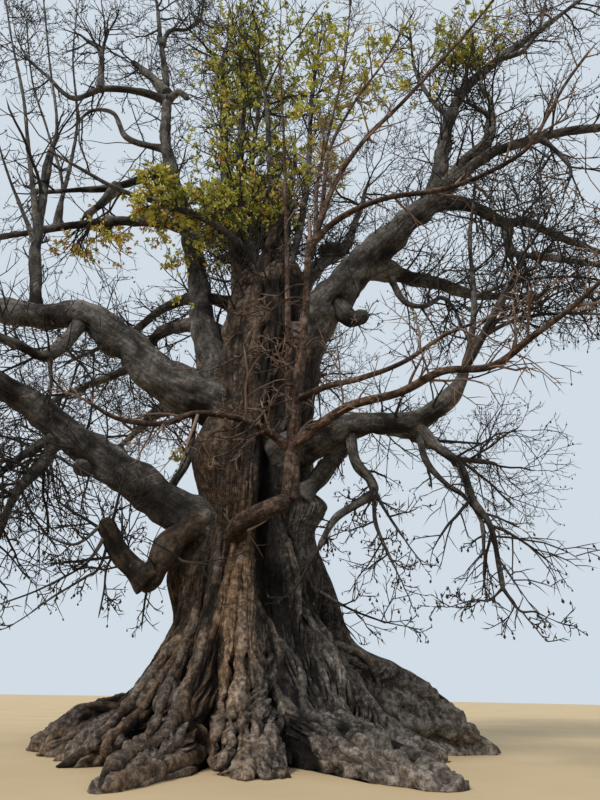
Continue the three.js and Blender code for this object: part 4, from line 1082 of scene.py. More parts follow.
corners_of = {}
for name, (carrier, place, thick, stretches) in LIMBS.items():
    if carrier == "trunk":
        height, heading, out = place
        point = np.array([trunk_axis(height), 0, height]) + towards(heading, 0) * out
    else:
        point = smooth_course(corners_of[carrier], place)[0]
    steps = [length * towards(heading, climb) for length, heading, climb in stretches]
    corners_of[name] = point + np.vstack([np.zeros(3), np.cumsum(steps, axis=0)])
print("limbs end up to", max(corners[-1, 2] for corners in corners_of.values()).round(1), "m high")

# %% [markdown]
# ## Twigs by one rule
# A twig bears smaller twigs round it at the golden angle, each a set share of its own length and
# thickness. That one rule, used again and again, gives a whole crown. Drawing each twig by hand is out of
# the question, and a particle system would be lost when the tree is exported, so the rule is worked out
# for all the twigs of one size at once, as arrays.

# %% A twig's own line
TAPER, TIP, WAVER = 0.45, 0.012, 0.34
BEND_STEPS = (10, 11, 12)
NEARLY_UPRIGHT = 0.9
UP = np.array([0.0, 0.0, 1.0])


def sideways_of(along):
    """A unit vector square to each direction, level unless the direction is nearly upright."""
    upright = np.abs(along[..., 2:]) >= NEARLY_UPRIGHT
    return unit(np.cross(along, np.where(upright, [1.0, 0.0, 0.0], UP)))


def twig_corners(twigs, pieces, waver=WAVER):
    """Corners of each twig: straight pieces, each turned a little by its draws and lifted a little."""
    point, along = twigs["start"], twigs["along"]
    corners = [point]
    for piece in range(pieces):
        point = point + along * (twigs["length"] / pieces)[:, None]
        corners.append(point)
        bend = np.stack([draw(twigs["number"], 3 * piece + step) for step in BEND_STEPS], -1) - 0.5
        along = unit(along + bend * waver + UP * twigs["lift"][:, None])
    return np.stack(corners, 1)


def taper_of(twigs, rings):
    """Radii of each twig, falling evenly from its foot to its tip."""
    tip = np.maximum(twigs["radius"] * TAPER, TIP)
    return twigs["radius"][:, None] + (tip - twigs["radius"])[:, None] * np.linspace(0, 1, rings)


def place_on(paths, share):
    """The place on each path at its share, and the way that the path runs there."""
    steps = share * (paths.shape[1] - 1)
    index = np.minimum(steps.astype(int), paths.shape[1] - 2)
    row = np.arange(len(paths))
    start, end = paths[row, index], paths[row, index + 1]
    return start + (end - start) * (steps - index)[:, None], unit(end - start)


print("a twig tapers to", TAPER, "of its radius")

# %% What a twig bears
FIRST_SHARE, GOLDEN_SHARE, GOLDEN_TURN = 0.2, 0.618, 137.5
SPREAD, SPREAD_MORE = 34, 26
LENGTH, SHORTER, LEAST_LENGTH, LENGTH_MORE, THINNER = 0.88, 0.4, 0.75, 0.5, 0.55
CHILD_STEP = 40


def leaving(along, turn, spread):
    """The way off a bearer that runs along: along * cos(spread) + outward * sin(spread), where outward is
    square to the bearer and turned round it. Both angles are in degrees."""
    turn, spread = np.radians(turn)[:, None], np.radians(spread)[:, None]
    side = sideways_of(along)
    outward = side * np.cos(turn) + np.cross(along, side) * np.sin(turn)
    return along * np.cos(spread) + outward * np.sin(spread)


def together(groups):
    """Several groups of twigs as one."""
    return {key: np.concatenate([group[key] for group in groups]) for key in groups[0]}


def kept(twigs, keep):
    """The twigs that are kept."""
    return {key: value[keep] for key, value in twigs.items()}


def borne_by(twigs, paths, children, share_of_length=1.0):
    """The twigs that each twig bears, spiralling round it by the golden angle. Later ones are shorter."""
    borne = []
    for child in range(children):
        number = scramble(twigs["number"], child + CHILD_STEP)
        share = FIRST_SHARE + (1 - FIRST_SHARE) * ((0.5 + child * GOLDEN_SHARE) % 1)
        point, along = place_on(paths, np.full(len(paths), share))
        turn = GOLDEN_TURN * child + 360 * draw(twigs["number"], 1)
        longer = LEAST_LENGTH + LENGTH_MORE * draw(number, 3)
        bearing = twigs["radius"] * (1 - (1 - TAPER) * share)
        borne.append({
            "number": number, "start": point,
            "along": leaving(along, turn, SPREAD + SPREAD_MORE * draw(number, 2)),
            "length": share_of_length * twigs["length"] * (LENGTH - SHORTER * share) * longer,
            "radius": np.maximum(bearing * THINNER, TIP), "lift": twigs["lift"], "crown": twigs["crown"],
        })
    return together(borne)


print("each next twig turns by", GOLDEN_TURN, "degrees")

# %% [markdown]
# A mass of twigs in the solid model starts as one stem at the tip of a bough. The same stems start here,
# from the same numbers, so that the fine crown fills the room that its mass stands for. The crown is made
# in five parts, because one piece of it would be too large.

# %% Stems of the masses
# Each mass of twigs: its bough, the length of its stem, and how much its twigs lift.
MASSES = {
    "left_low_twigs": ("left_low", 3.9, 0.05), "left_high_twigs": ("left_high", 4.1, 0.1),
    "left_riser_twigs": ("left_riser", 6.0, 0.25), "left_back_high_twigs": ("left_back_high", 3.9, 0.15),
    "left_back_low_twigs": ("left_back_low", 3.9, 0.05), "crown_left_twigs": ("crown_left", 4.8, 0.2),
    "crown_left_arm_twigs": ("crown_left_arm", 3.7, 0.2), "left_beam_twigs": ("left_beam", 4.1, 0.1),
    "left_beam_upper_twigs": ("left_beam_upper", 2.5, 0.3), "crown_centre_twigs": ("crown_centre", 4.1, 0.15),
    "right_great_twigs": ("right_great_up", 4.8, 0.15), "right_long_twigs": ("right_long", 3.9, 0.05),
    "right_drop_twigs": ("right_drop", 3.9, 0.05), "right_drop_low_twigs": ("right_drop_low", 3.2, -0.05),
    "right_under_twigs": ("right_under", 4.1, 0.1), "right_back_twigs": ("right_back", 4.6, 0.15),
    "right_low_twigs": ("right_low", 3.9, 0.15), "red_arm_twigs": ("red_arm", 3.0, 0.1),
    "red_climber_leaves": ("red_climber", 3.4, 0.05), "leaf_stem_leaves": ("leaf_stem", 7.0, 0.1),
    "leaf_arm_leaves": ("leaf_arm", 4.4, 0.06), "back_left_twigs": ("back_left", 4.4, 0.1),
    "back_middle_twigs": ("back_middle", 4.4, 0.12), "back_right_twigs": ("back_right", 4.4, 0.1),
    "back_top_twigs": ("back_top", 4.8, 0.15),
}
# The five parts of the crown, each with the first words of its limbs' names.
CROWN_WORDS = {
    "left": "left low fork elbow arm riser beam strut", "crown": "crown leaf",
    "right": "right long pale up under inner mid burl hang", "back": "back", "red": "red climber",
}
CROWNS = list(CROWN_WORDS)
RED = CROWNS.index("red")
STEM_GAP, STEM_NUMBER, STEM_PIECES = 0.0003, 7, 3


def crown_of(name):
    """Which part of the crown a limb belongs to, by the first word of its name."""
    word = name.split("_")[0]
    return next(index for index, words in enumerate(CROWN_WORDS.values()) if word in words.split())


def stem_on(index, name, carrier, length, lift):
    """A mass's stem: from a hair beyond its bough's tip, onward as the bough's last stretch runs."""
    ends = smooth_course(corners_of[carrier], np.linspace(0, 1, len(corners_of[carrier])))[-2:]
    onward = unit(ends[1] - ends[0])
    return {
        "number": scramble(STEM_NUMBER, index), "start": (ends[1] + onward * STEM_GAP)[None],
        "along": onward[None], "length": np.array([length]), "radius": np.array([BOUGHS[carrier][2][1]]),
        "lift": np.array([lift]), "crown": np.array([crown_of(name)]),
    }


stems = together([stem_on(index, name, *mass) for index, (name, mass) in enumerate(MASSES.items())])
stem_corners = twig_corners(stems, STEM_PIECES)
stem_of = {carrier: index for index, (carrier, _, _) in enumerate(MASSES.values())}
print(len(stem_corners), "stems, the longest", stems["length"].max(), "m")

# %% [markdown]
# The skin of a bough is a ring of points carried along its line. Each ring is turned as little as
# possible from the last by holding it against one fixed direction. Lumps, knots and fibres are added to
# the ring's radius, and a flare at the foot melts the bough into what bears it.

# %% Skins of the boughs
GRAIN_ROUND, FIBRES_FINER = 1.6, 9
# Lumps: the size of each in metres and its height as a share of the radius.
LUMPS = [(1.1, 0.2), (0.45, 0.12)]
CREASE_SIZE, CREASE_LEVEL, CREASE_DEPTH = 0.32, 0.3, 0.05
FIBRE_MOST, FIBRE_SHARE = 0.018, 0.08
# The last of these paints light on the tops of limbs and shade under them.
LIMB_CREST, PUSH_SHARE, PAINTED_TOP_LIGHT = 0.48, 1.8, 0.16
ROUND_END = 0.3


def run_of(line):
    """Length run along a line of points, starting at nothing."""
    return np.concatenate([[0], np.cumsum(np.linalg.norm(np.diff(line, axis=0), axis=-1))])


def limb_grid(line, radii, sides):
    """Rings round a line, and the way out at each point: the ring's own level axis and its upright axis,
    mixed by the cosine and the sine of the angle."""
    along = unit(np.gradient(line, axis=0))
    held = np.eye(3)[np.argmin(np.abs(along).max(0))]
    side = unit(np.cross(along, held))
    other = np.cross(along, side)
    angle = np.linspace(0, 2 * np.pi, sides, endpoint=False)
    outward = side[:, None] * np.cos(angle)[None, :, None] + other[:, None] * np.sin(angle)[None, :, None]
    return line[:, None] + outward * radii[:, None, None], outward, angle


def limb_skin(line, radii, sides, seed, rough=1.0):
    """Points, faces and stored values of a limb that is closed at both ends. It is pushed out by its radius
    times lumps less creases, and by fibres; its crest is a half, more where it is pushed out, with painted
    light where it faces up and painted shade where it faces down."""
    grid, outward, angle = limb_grid(line, radii, sides)
    thick = np.broadcast_to(radii[:, None], grid.shape[:2])
    run = run_of(line)[:, None] * GRAIN_RUN + 0 * thick
    grain = np.stack([thick * np.cos(angle) * GRAIN_ROUND, thick * np.sin(angle) * GRAIN_ROUND, run], -1)
    lumps = sum(noise(grid / size, seed + which) * high for which, (size, high) in enumerate(LUMPS))
    creases = CREASE_LEVEL - knobs(grain, CREASE_SIZE, seed + 2)
    fibres = noise(grain * FIBRES_FINER, seed + 3)
    push = thick * (lumps - creases * CREASE_DEPTH) * rough
    push = push + fibres * np.minimum(FIBRE_MOST, thick * FIBRE_SHARE)
    grid = grid + outward * push[..., None]
    rings = len(line)
    closing = np.vstack([line[:1], line[-1:] + unit(line[-1:] - line[-2:-1]) * radii[-1] * ROUND_END])
    # Painted light and shade: the crest value rises on the upper side of a limb and falls on its underside.
    crest = LIMB_CREST + push / np.maximum(thick, 0.05) * PUSH_SHARE + PAINTED_TOP_LIGHT * outward[..., 2]
    values = {
        "grain": np.vstack([grain.reshape(-1, 3), np.zeros((2, 3))]),
        "crest": np.append(np.clip(crest, 0.12, 0.9).ravel(), [0.5, 0.5]),
        "dust": np.zeros(rings * sides + 2), "warm": np.zeros(rings * sides + 2),
    }
    points = np.vstack([grid.reshape(-1, 3), closing])
    return points, grid_faces(rings, sides), end_fans(rings, sides), values


def even_line(points, radii, step):
    """A line laid again at even steps, with its radii."""
    run = run_of(points)
    even = np.linspace(0, run[-1], max(int(run[-1] / step), 6))
    line = np.stack([np.interp(even, run, points[:, axis]) for axis in range(3)], -1)
    return line, np.interp(even, run, radii)


def shifted(faces, counts):
    """Faces of several parts as one array, each part's moved on by the number of points before its own."""
    starts = np.cumsum([0, *counts[:-1]])
    return np.vstack([part + start for part, start in zip(faces, starts)])


def joined(parts):
    """Several skins as one: points, faces and values one after another."""
    counts = [len(part[0]) for part in parts]
    points = np.vstack([part[0] for part in parts])
    faces = [shifted([part[which] for part in parts], counts) for which in (1, 2)]
    values = {key: np.concatenate([part[3][key] for part in parts]) for key in parts[0][3]}
    return points, faces, values


print("lumps are up to", LUMPS[0][1], "of a limb's radius")

# %% The boughs themselves
FLARE_MORE, FLARE_OVER = 0.3, 0.12
LINE_PLACES, STEM_PLACES, BEND_BACK = 120, 50, 6
# Steps along a limb and sides round it, for each metre of its radius, with the least and the most.
ALONG_SHARE, ALONG_LEAST, ALONG_MOST = 0.2, 0.05, 0.11
SIDES_SHARE, SIDES_LEAST, SIDES_MOST = 64, 7, 44
LIMB_SEED, SEEDS_A_LIMB = 100, 5
LIMB_END = np.array([0.95, 0.85, 0.65, 0.35])
SMOOTH_LIMBS, SMOOTH_ROUGH, OTHER_ROUGH = ("red", "leaf", "right_pale", "climber"), 0.5, 1.2
BROWN_LIMBS, LIMB_BROWN = ("crown_rib", "left_elbow"), 0.9
# Painted light and shade on some limbs: how much lighter or darker they are than the rest, by how their names
# start.
LIT = {
    "crown_rib": 0.85, "left_low": 0.86, "left_elbow": 0.84, "left_high": 1.12,
    "right_great": 1.12, "right_long": 1.1,
}
# Bark of the pieces that aren't grey.
OTHER_BARKS = {"boughs_red": (red_bark, "red_bark"), "bough_pale": (pale_bark, "pale_bark")}


def by_start(table, name, otherwise):
    """The first value in a table whose key the name starts with."""
    return next((table[start] for start in table if name.startswith(start)), otherwise)


def bough_line(name):
    """Middle line and radii of a bough, going on into the stem of its twigs where it has one. The radius
    falls evenly, times a flare of 1 + more * exp(-(share/over)^2)."""
    foot, tip = LIMBS[name][2]
    shares = np.linspace(0, 1, LINE_PLACES)
    line = smooth_course(corners_of[name], shares)
    radii = (foot + (tip - foot) * shares) * (1 + FLARE_MORE * np.exp(-(shares / FLARE_OVER) ** 2))
    if name in stem_of:
        bend = np.vstack([line[-BEND_BACK], stem_corners[stem_of[name]]])
        onward = smooth_course(bend, np.linspace(1 / (len(bend) - 1), 1, STEM_PLACES))[1:]
        line = np.vstack([line, onward])
        radii = np.append(radii, np.linspace(tip, max(tip * TAPER, TIP), STEM_PLACES)[1:])
    return line, radii


def bough_skin(name, seed):
    """A limb's skin, with steps and sides to suit its thickness, and its end rounded off."""
    thickest = LIMBS[name][2][0]
    step = np.clip(thickest * ALONG_SHARE, ALONG_LEAST, ALONG_MOST)
    sides = int(np.clip(thickest * SIDES_SHARE, SIDES_LEAST, SIDES_MOST))
    line, radii = even_line(*bough_line(name), step)
    radii[-4:] *= LIMB_END
    rough = SMOOTH_ROUGH if name.startswith(SMOOTH_LIMBS) else OTHER_ROUGH
    made = limb_skin(line, radii, sides, seed, rough)
    made[3]["warm"][:] = LIMB_BROWN * name.startswith(BROWN_LIMBS)
    made[3]["crest"] *= by_start(LIT, name, 1)
    return made


def piece_of(name):
    """The piece that a limb's skin belongs to: the pale one, or the one of its part of the crown."""
    return "bough_pale" if "pale" in name else f"boughs_{CROWNS[crown_of(name)]}"


skins = {name: bough_skin(name, LIMB_SEED + SEEDS_A_LIMB * index) for index, name in enumerate(LIMBS)}
for piece in (*(f"boughs_{crown}" for crown in CROWNS), "bough_pale"):
    finish, slot = OTHER_BARKS.get(piece, (grey_bark, "bark"))
    names = [name for name in LIMBS if piece_of(name) == piece]
    points, faces, values = joined([skins[name] for name in names])
    add_piece(piece, points, faces, finish, [name for name in names if name in BOUGHS], None, values)

# %% [markdown]
# ## Root strands
# Root strands as thick as an arm wrap the buttresses, and part and join on their way to the ground. Each
# is a limb like any other, carried along a course on the trunk's own skin and sunk into it by a share of
# its thickness. Cutting them out of the trunk's grid would need far finer faces all round.

# %% Courses of the strands
# Each strand at the front: its radius at head and foot, and its corners, each a heading and a height.
STRANDS = entries_in("""
0.12 0.22; 241 3.31, 235 2.81, 228 2.46, 225 1.98, 227 1.52, 215 1.11, 203 0.84
0.12 0.16; 204 1.16, 193 1.08, 187 1.01, 187 0.72, 187 0.51
0.13 0.16; 217 0.81, 192 0.49, 190 0.34, 189 0.06
0.11 0.17; 237 4.38, 240 3.84, 238 3.31, 240 2.8, 233 2.61, 233 1.71, 233 1.09, 234 0.63, 235 0.34
0.14 0.16; 252 4.18, 257 3.49, 258 2.91, 256 2.42, 255 1.97, 255 1.6, 256 1.23, 258 0.91, 261 0.59,
    262 0.37, 260 0.2, 258 0.07
0.1 0.14; 233 1.64, 234 1.2, 233 0.84, 234 0.51, 235 0.19, 243 0
0.09 0.13; 262 2.23, 263 1.72, 265 1.17, 264 0.95, 263 0.71, 264 0.39, 267 0.27
0.1 0.13; 268 2.09, 270 1.61, 273 1.25, 270 0.91, 271 0.61, 271 0.45
0.1 0.14; 282 1.38, 279 1.15, 276 0.98, 277 0.71, 278 0.52, 275 0.35, 274 0.22
0.12 0.15; 269 4.96, 273 4.25, 282 3.53, 293 3.08, 299 2.58, 298 2.15, 295 1.75, 293 1.25, 292 0.91,
    289 0.58, 282 0.47, 278 0.27, 276 0.09
0.1 0.15; 286 2.26, 291 1.75, 288 1.38, 285 0.92, 284 0.46, 283 0.21, 282 0
0.12 0.17; 312 6.11, 308 5.03, 309 4.37, 320 3.82, 323 3.29
0.12 0.16; 353 3.01, 357 2.65, 357 2.34, 357 2.05, 358 1.55, 355 1.15
0.13 0.17; 325 1.72, 327 1.26, 320 0.9, 301 0.67, 298 0.34, 298 0.13
""")
# Strands on every plank: how far out along its flank each runs, and its radius at head and foot. The planks
# between these headings are smooth, and bear only the first.
ON_A_PLANK = [(1.0, 0.08, 0.15), (0.72, 0.06, 0.12), (-0.55, 0.06, 0.13)]
SMOOTH_FROM, SMOOTH_TO = 250, 350
print(len(STRANDS), "strands at the front and up to", len(ON_A_PLANK), "on each plank")

# %% A strand's skin
SUNK, SUNK_HEAD, HEAD_OVER = 0.22, 1.2, 0.12
STRAND_STEP, STRAND_SIDES, STRAND_ROUGH, ROUNDED_OVER = 0.06, 9, 2.2, 7
# A strand that ends lower than this runs on over the ground, so far, in so many steps.
GROUND_END, RUN_ON, RUN_ON_STEPS = 0.12, 0.35, 10
FLAT = np.array([1.0, 1.0, 0.0])
SWELL, SWELL_LONG, THIN_HEAD, HEAD_LONG = 0.32, 0.35, 0.15, 0.9
STRAND_END = np.array([0.85, 0.6, 0.3])
# A strand's crest value starts below a half, painted shade on its flanks, and rises by painted light where it
# faces out and up.
STRAND_CREST, PAINTED_OUT_LIGHT, PAINTED_ABOVE_LIGHT, OWN_SHARE, SHADE_SHARE = 0.43, 0.3, 0.12, 0.9, 0.8
LYING, LYING_UNDER, MOST_CREST = 0.32, 0.45, 0.95


def run_on(points, radii, seed):
    """A strand with a flat end over the ground: away from the trunk, turned aside by a draw, and thinner."""
    away = unit(points[-1] * FLAT)
    turned = np.array([-away[1], away[0], 0.0]) * (draw(seed, 51)[0] - 0.5)
    further = np.linspace(0.1, 1, RUN_ON_STEPS)[:, None] * RUN_ON * (0.4 + draw(seed, 52)[0])
    lying = points[-1] * FLAT + unit(away + turned) * further
    lying[:, 2] = radii[-1] * np.linspace(0.5, 0.1, RUN_ON_STEPS)
    return np.vstack([points, lying]), np.append(radii, radii[-1] * np.linspace(0.95, 0.5, RUN_ON_STEPS))


def strand_line(headings, heights, radii, seed):
    """A strand's middle line and radii: on the skin less a share of its radius, more at its head; then
    rounded by the mean of its neighbours, and swollen by noise along its run."""
    low = np.maximum(heights, radii * 0.6)
    risen = np.linspace(0, 1, len(low))
    sunk = SUNK + (SUNK_HEAD - SUNK) * np.exp(-(risen / HEAD_OVER) ** 2)
    points = on_trunk(headings, sharp_radius(headings, low) - sunk * radii, low)
    if heights[-1] < GROUND_END:
        points, radii = run_on(points, radii, seed)
    line, radii = even_line(points, radii, STRAND_STEP)
    padded = np.pad(line, ((ROUNDED_OVER, ROUNDED_OVER), (0, 0)), mode="edge")
    window = 2 * ROUNDED_OVER + 1
    line = sum(padded[shift:shift + len(line)] for shift in range(window)) / window
    line, radii = even_line(line, radii, STRAND_STEP)
    run = np.arange(len(line)) * STRAND_STEP
    swelling = noise(np.stack([run / SWELL_LONG, run * 0 + seed, run * 0], -1), seed)
    radii = radii * (1 + SWELL * swelling)
    radii *= np.clip(THIN_HEAD + run / HEAD_LONG, 0, 1)
    radii[-3:] *= STRAND_END
    return line, radii


def strand_skin(headings, heights, radii, seed, pale=0.0):
    """A strand as a limb on the trunk's skin, with painted light where it faces out and up, and painted shade
    where it meets the trunk, in the named shades and underneath.
    """
    line, radii = strand_line(headings, heights, radii, seed)
    points, sides, ends, values = limb_skin(line, radii, STRAND_SIDES, seed, STRAND_ROUGH)
    middle = np.vstack([np.repeat(line, STRAND_SIDES, 0), line[:1], line[-1:]])
    thick = np.concatenate([np.repeat(radii, STRAND_SIDES), radii[:1], radii[-1:]])
    out = np.hypot(points[:, 0], points[:, 1]) - np.hypot(middle[:, 0], middle[:, 1])
    above = points[:, 2] - middle[:, 2]
    # Lighter near the ground, where the painted shade on a strand's underside would turn it black.
    lying = LYING * np.clip(1 - points[:, 2] / LYING_UNDER, 0, 1)
    painted_light = (PAINTED_OUT_LIGHT * out + PAINTED_ABOVE_LIGHT * above) / thick
    own = OWN_SHARE * (values["crest"] - 0.5)
    crest = STRAND_CREST + lying + painted_light + own - SHADE_SHARE * shade_at(points)
    values["crest"] = np.clip(crest, 0, MOST_CREST)
    values["dust"] = dust_on(points, values["crest"]) + pale
    values["warm"] = warmth(points)
    points[:, 2] = np.maximum(points[:, 2], 0)
    return points, sides, ends, values


print("strands have", STRAND_SIDES, "sides")

# %% All strands
STRAND_SEED, PLANK_SEED, SEEDS_A_STRAND, SEEDS_A_PLANK = 900, 1100, 5, 15
PALE_STRANDS, PLACES_A_CORNER, PLANK_PLACES = 0.24, 12, 60
# Head of a plank's first strand as a share of the plank's height, and how much lower the others start.
HEAD_SHARE, LOWER_HEAD = 0.9, 0.25
SWING_LONG, SWING_SEED, CREST_SWING, FLANK_OFF, FLANK_SWING = 0.8, 41, 0.5, 0.9, 0.25


def plank_strand(index, place):
    """A strand down a plank. On the crest it swings from side to side; on a flank it runs where the plank's
    half thickness and its distance there put the flank."""
    foot, head, top, reach, hollow, toe, deep, hump, half = BUTTRESSES[index]
    share, head_radius, foot_radius = ON_A_PLANK[place]
    heights = np.linspace(top * (HEAD_SHARE - LOWER_HEAD * (place > 0)), 0, PLANK_PLACES)
    out = girth(heights) + abs(share) * plank_run(heights, top, reach, hollow, toe, deep, hump)
    aside = np.degrees(np.arcsin(np.minimum(half / out, 0.9)))
    swing = noise(np.stack([heights / SWING_LONG, heights * 0 + index, heights * 0 + place], -1), SWING_SEED)
    off = CREST_SWING * swing if share == 1 else np.sign(share) * (FLANK_OFF + FLANK_SWING * swing)
    headings = foot + (head - foot) * heights / top + aside * off
    headings = headings - wander(headings, heights)
    radii = np.linspace(head_radius, foot_radius, len(heights))
    return strand_skin(headings, heights, radii, PLANK_SEED + SEEDS_A_PLANK * index + SEEDS_A_STRAND * place)


roots = []
for index, (thick, course) in enumerate(STRANDS):
    corners = rows_in(course)
    headings, heights = smooth_course(corners, np.linspace(0, 1, PLACES_A_CORNER * len(corners))).T
    radii = np.linspace(*rows_in(thick)[0], len(heights))
    roots.append(strand_skin(headings, heights, radii, STRAND_SEED + SEEDS_A_STRAND * index, PALE_STRANDS))
for index, (foot, *_) in enumerate(BUTTRESSES):
    borne = 1 if SMOOTH_FROM < foot < SMOOTH_TO else len(ON_A_PLANK)
    roots += [plank_strand(index, place) for place in range(borne)]
points, faces, values = joined(roots)
add_piece("root_strands", points, faces, trunk_bark, (), None, values)

# %% [markdown]
# ## Growing the crown
# The stems bear branches, the branches bear twigs, and so on down to shoots as thick as a finger. The
# thicker boughs carry a few branches of their own on the way. A twig is dropped if it ends in the trunk,
# near the ground, or outside the box that all the solids of the model fill.

# %% Where leaves grow, and where the sky shows through
# Each room of leaves: its middle, its half sizes, the share of its shoots with leaves, and how far they
# have turned from green to orange.
LEAF_ROOMS = [
    ((-0.2, 0, 28.6), (4.4, 3.4, 4.6), 0.5, 0.0), ((-0.7, 0, 22.8), (3.3, 2.8, 3.4), 0.38, 0.02),
    ((3.2, -2.5, 24.2), (2.4, 2.4, 2.8), 0.6, 0.0),
    ((-2.6, -0.3, 18.8), (4.4, 2.8, 2.6), 0.62, 0.1), ((-6.3, 0, 18.4), (4.2, 2.6, 1.7), 0.8, 0.8),
    ((-3.6, -0.6, 15.6), (1.0, 1.0, 1.6), 0.8, 0.7), ((-5.0, -2.0, 18.4), (2.4, 1.5, 1.5), 0.9, 0.3),
    ((5.0, -3.5, 23.3), (2.4, 2.0, 2.4), 0.75, 0.02), ((8.6, -2.5, 27.4), (2.2, 2.0, 1.6), 0.7, 0.0),
    ((2.4, -1.5, 21.8), (2.6, 2.2, 3.0), 0.5, 0.05), ((-2.6, 0.3, 8.8), (0.6, 0.6, 0.5), 1.0, 0.1),
    ((5.7, 1.5, 15.0), (0.7, 0.7, 0.5), 1.0, 0.1),
]
OUTER_THIRD = 3
# Each room of sky: its middle, its half sizes, and the share of twigs that it loses.
SKY_ROOMS = [
    ((-9.3, -3.5, 22.5), (5.5, 5.0, 8.5), 0.62), ((5.5, -3.0, 8.5), (3.0, 3.0, 3.0), 0.25),
]


def out_in_room(points, middle, half):
    """How far out each point lies in an ellipsoid: 0 in its middle, 1 on its skin."""
    return np.linalg.norm((points - np.array(middle)) / np.array(half), axis=-1)


def leaf_room(points):
    """The share of leafy shoots at each point and how far their leaves have turned. A room is an ellipsoid,
    and thins out over the outer third of it."""
    share, turned = np.zeros(len(points)), np.zeros(len(points))
    for middle, half, dense, turn in LEAF_ROOMS:
        here = dense * np.clip((1 - out_in_room(points, middle, half)) * OUTER_THIRD, 0, 1)
        turned = np.where(here > share, turn, turned)
        share = np.maximum(share, here)
    return share, turned


def open_sky(points, numbers):
    """Whether twigs with these tips are kept in the rooms of sky."""
    keeps = np.ones(len(points), bool)
    for middle, half, lost in SKY_ROOMS:
        keeps &= (out_in_room(points, middle, half) >= 1) | (draw(numbers, 33) > lost)
    return keeps


print(len(LEAF_ROOMS), "rooms of leaves and", len(SKY_ROOMS), "of sky")

# %% [markdown]
# A limb also carries branches on its side, set round it by the golden angle at drawn places. A limb that
# is thick at its foot stays bare for nearly half of its way. A slender one ends in a twig that carries it
# on, so that it doesn't stop short.

# %% Branches straight on the boughs
SIDE_EVERY, SIDE_LONGEST, SIDE_LIFT = 0.36, 3.0, 0.1
# So many times more are drawn than are wanted, and all are kept only where leaves grow.
LEAFY_MORE = 3
# Limbs dressed more sparsely or with shorter branches, by how their names start: how far apart those are,
# and how long at most.
DRESS = {
    "left_low_fork": (0.14, 3.2), "low_side": (0.16, 3.0), "riser": (0.8, 1.5), "climber": (0.6, 2.4),
    "red_whip": (0.5, 0.6), "red_stem": (1.1, 1.4), "red_arm": (0.4, 2.2), "red": (0.8, 1.8),
    "leaf_arm": (0.2, 1.6), "leaf": (0.5, 2.4), "crown_low": (0.5, 2.8), "crown_middle": (0.5, 2.8),
    "mid": (0.25, 1.3), "inner": (0.5, 1.4), "hang": (0.4, 0.9), "elbow": (0.35, 1.1),
    "crown_left": (0.6, 2.2), "left_beam": (0.6, 2.0), "left_riser": (0.8, 1.5),
}
# How much some limbs' branches lift or droop.
LIFTS = {
    "left_low": -0.06, "left_low_fork": -0.1, "low_side": -0.12, "left_riser": 0.25, "right_low": -0.02,
    "right_hang": -0.15, "inner_hang": -0.15, "under_wave": -0.1, "mid_hang": -0.12, "beam_drop": -0.05,
    "crown_left": 0.2, "crown_middle": 0.2, "right_drop_low": -0.1, "red_stem": -0.2, "red_stem_left": -0.12,
    "red_arm_left": -0.15, "red_arm": -0.04, "red_arm_high": -0.05,
}
SIDE_NUMBER, SIDE_PLACES = 4001, 60
THICK_FOOT, BARE_THICK, BARE_THIN = 0.4, 0.45, 0.12
SIDE_SPREAD, SIDE_SPREAD_MORE, SIDE_UP = 38, 36, 0.15
SHORTEST, SHORTEST_REST, LONG_POWER, BORNE_LEAST, BORNE_MORE = 0.35, 0.65, 1.4, 0.9, 14
SIDE_THIN, SIDE_THICKER, BEARER_SHARE = 0.026, 0.03, 0.7
# A limb whose tip is between these radii ends in a twig that carries on.
THIN_TIP, THICK_TIP = 0.015, 0.1
END_STEP, END_SHARE, END_THICK = 999, 0.97, 0.8
END_LEAST, END_MORE, END_LONGEST = 0.5, 16, 1.6


def branches_on(index, name):
    """The branches that a limb bears: one in each even share of its way, at a drawn place there. Each is as
    long as a share of the longest that grows with a draw to a power, unless its bearer is too thin there."""
    foot, tip = LIMBS[name][2]
    corners = corners_of[name]
    number = scramble(SIDE_NUMBER, index)
    length = np.linalg.norm(np.diff(corners, axis=0), axis=-1).sum()
    bare = BARE_THICK if foot > THICK_FOOT else BARE_THIN
    every, longest = by_start(DRESS, name, (SIDE_EVERY, SIDE_LONGEST))
    count = int(LEAFY_MORE * length * (1 - bare) / every) + 1
    each = scramble(number, np.arange(count))
    shares = bare + (1 - bare) * (np.arange(count) + draw(each, 1)) / count
    line = smooth_course(corners, np.linspace(0, 1, SIDE_PLACES))
    point, along = place_on(np.repeat(line[None], count, 0), shares)
    turn = GOLDEN_TURN * np.arange(count) + 360 * draw(number, 2)
    off = leaving(along, turn, SIDE_SPREAD + SIDE_SPREAD_MORE * draw(each, 3))
    long = longest * (SHORTEST + SHORTEST_REST * draw(each, 4) ** LONG_POWER)
    bearing = foot + (tip - foot) * shares
    return {
        "number": each, "start": point, "along": unit(off + UP * SIDE_UP),
        "length": np.minimum(long, BORNE_LEAST + BORNE_MORE * bearing),
        "radius": np.minimum(SIDE_THIN + SIDE_THICKER * draw(each, 5), BEARER_SHARE * bearing),
        "lift": np.full(count, LIFTS.get(name, SIDE_LIFT)), "crown": np.full(count, crown_of(name)),
    }


def twig_on_end(index, name):
    """The twig that a slender limb ends in, longer and thicker with the limb's tip."""
    tip = LIMBS[name][2][1]
    line = smooth_course(corners_of[name], np.linspace(0, 1, SIDE_PLACES))
    point, along = place_on(line[None], np.array([END_SHARE]))
    return {
        "number": scramble(scramble(SIDE_NUMBER, index), END_STEP), "start": point, "along": along,
        "length": np.array([min(END_LEAST + END_MORE * tip, END_LONGEST)]),
        "radius": np.array([END_THICK * tip]), "lift": np.array([LIFTS.get(name, SIDE_LIFT)]),
        "crown": np.array([crown_of(name)]),
    }


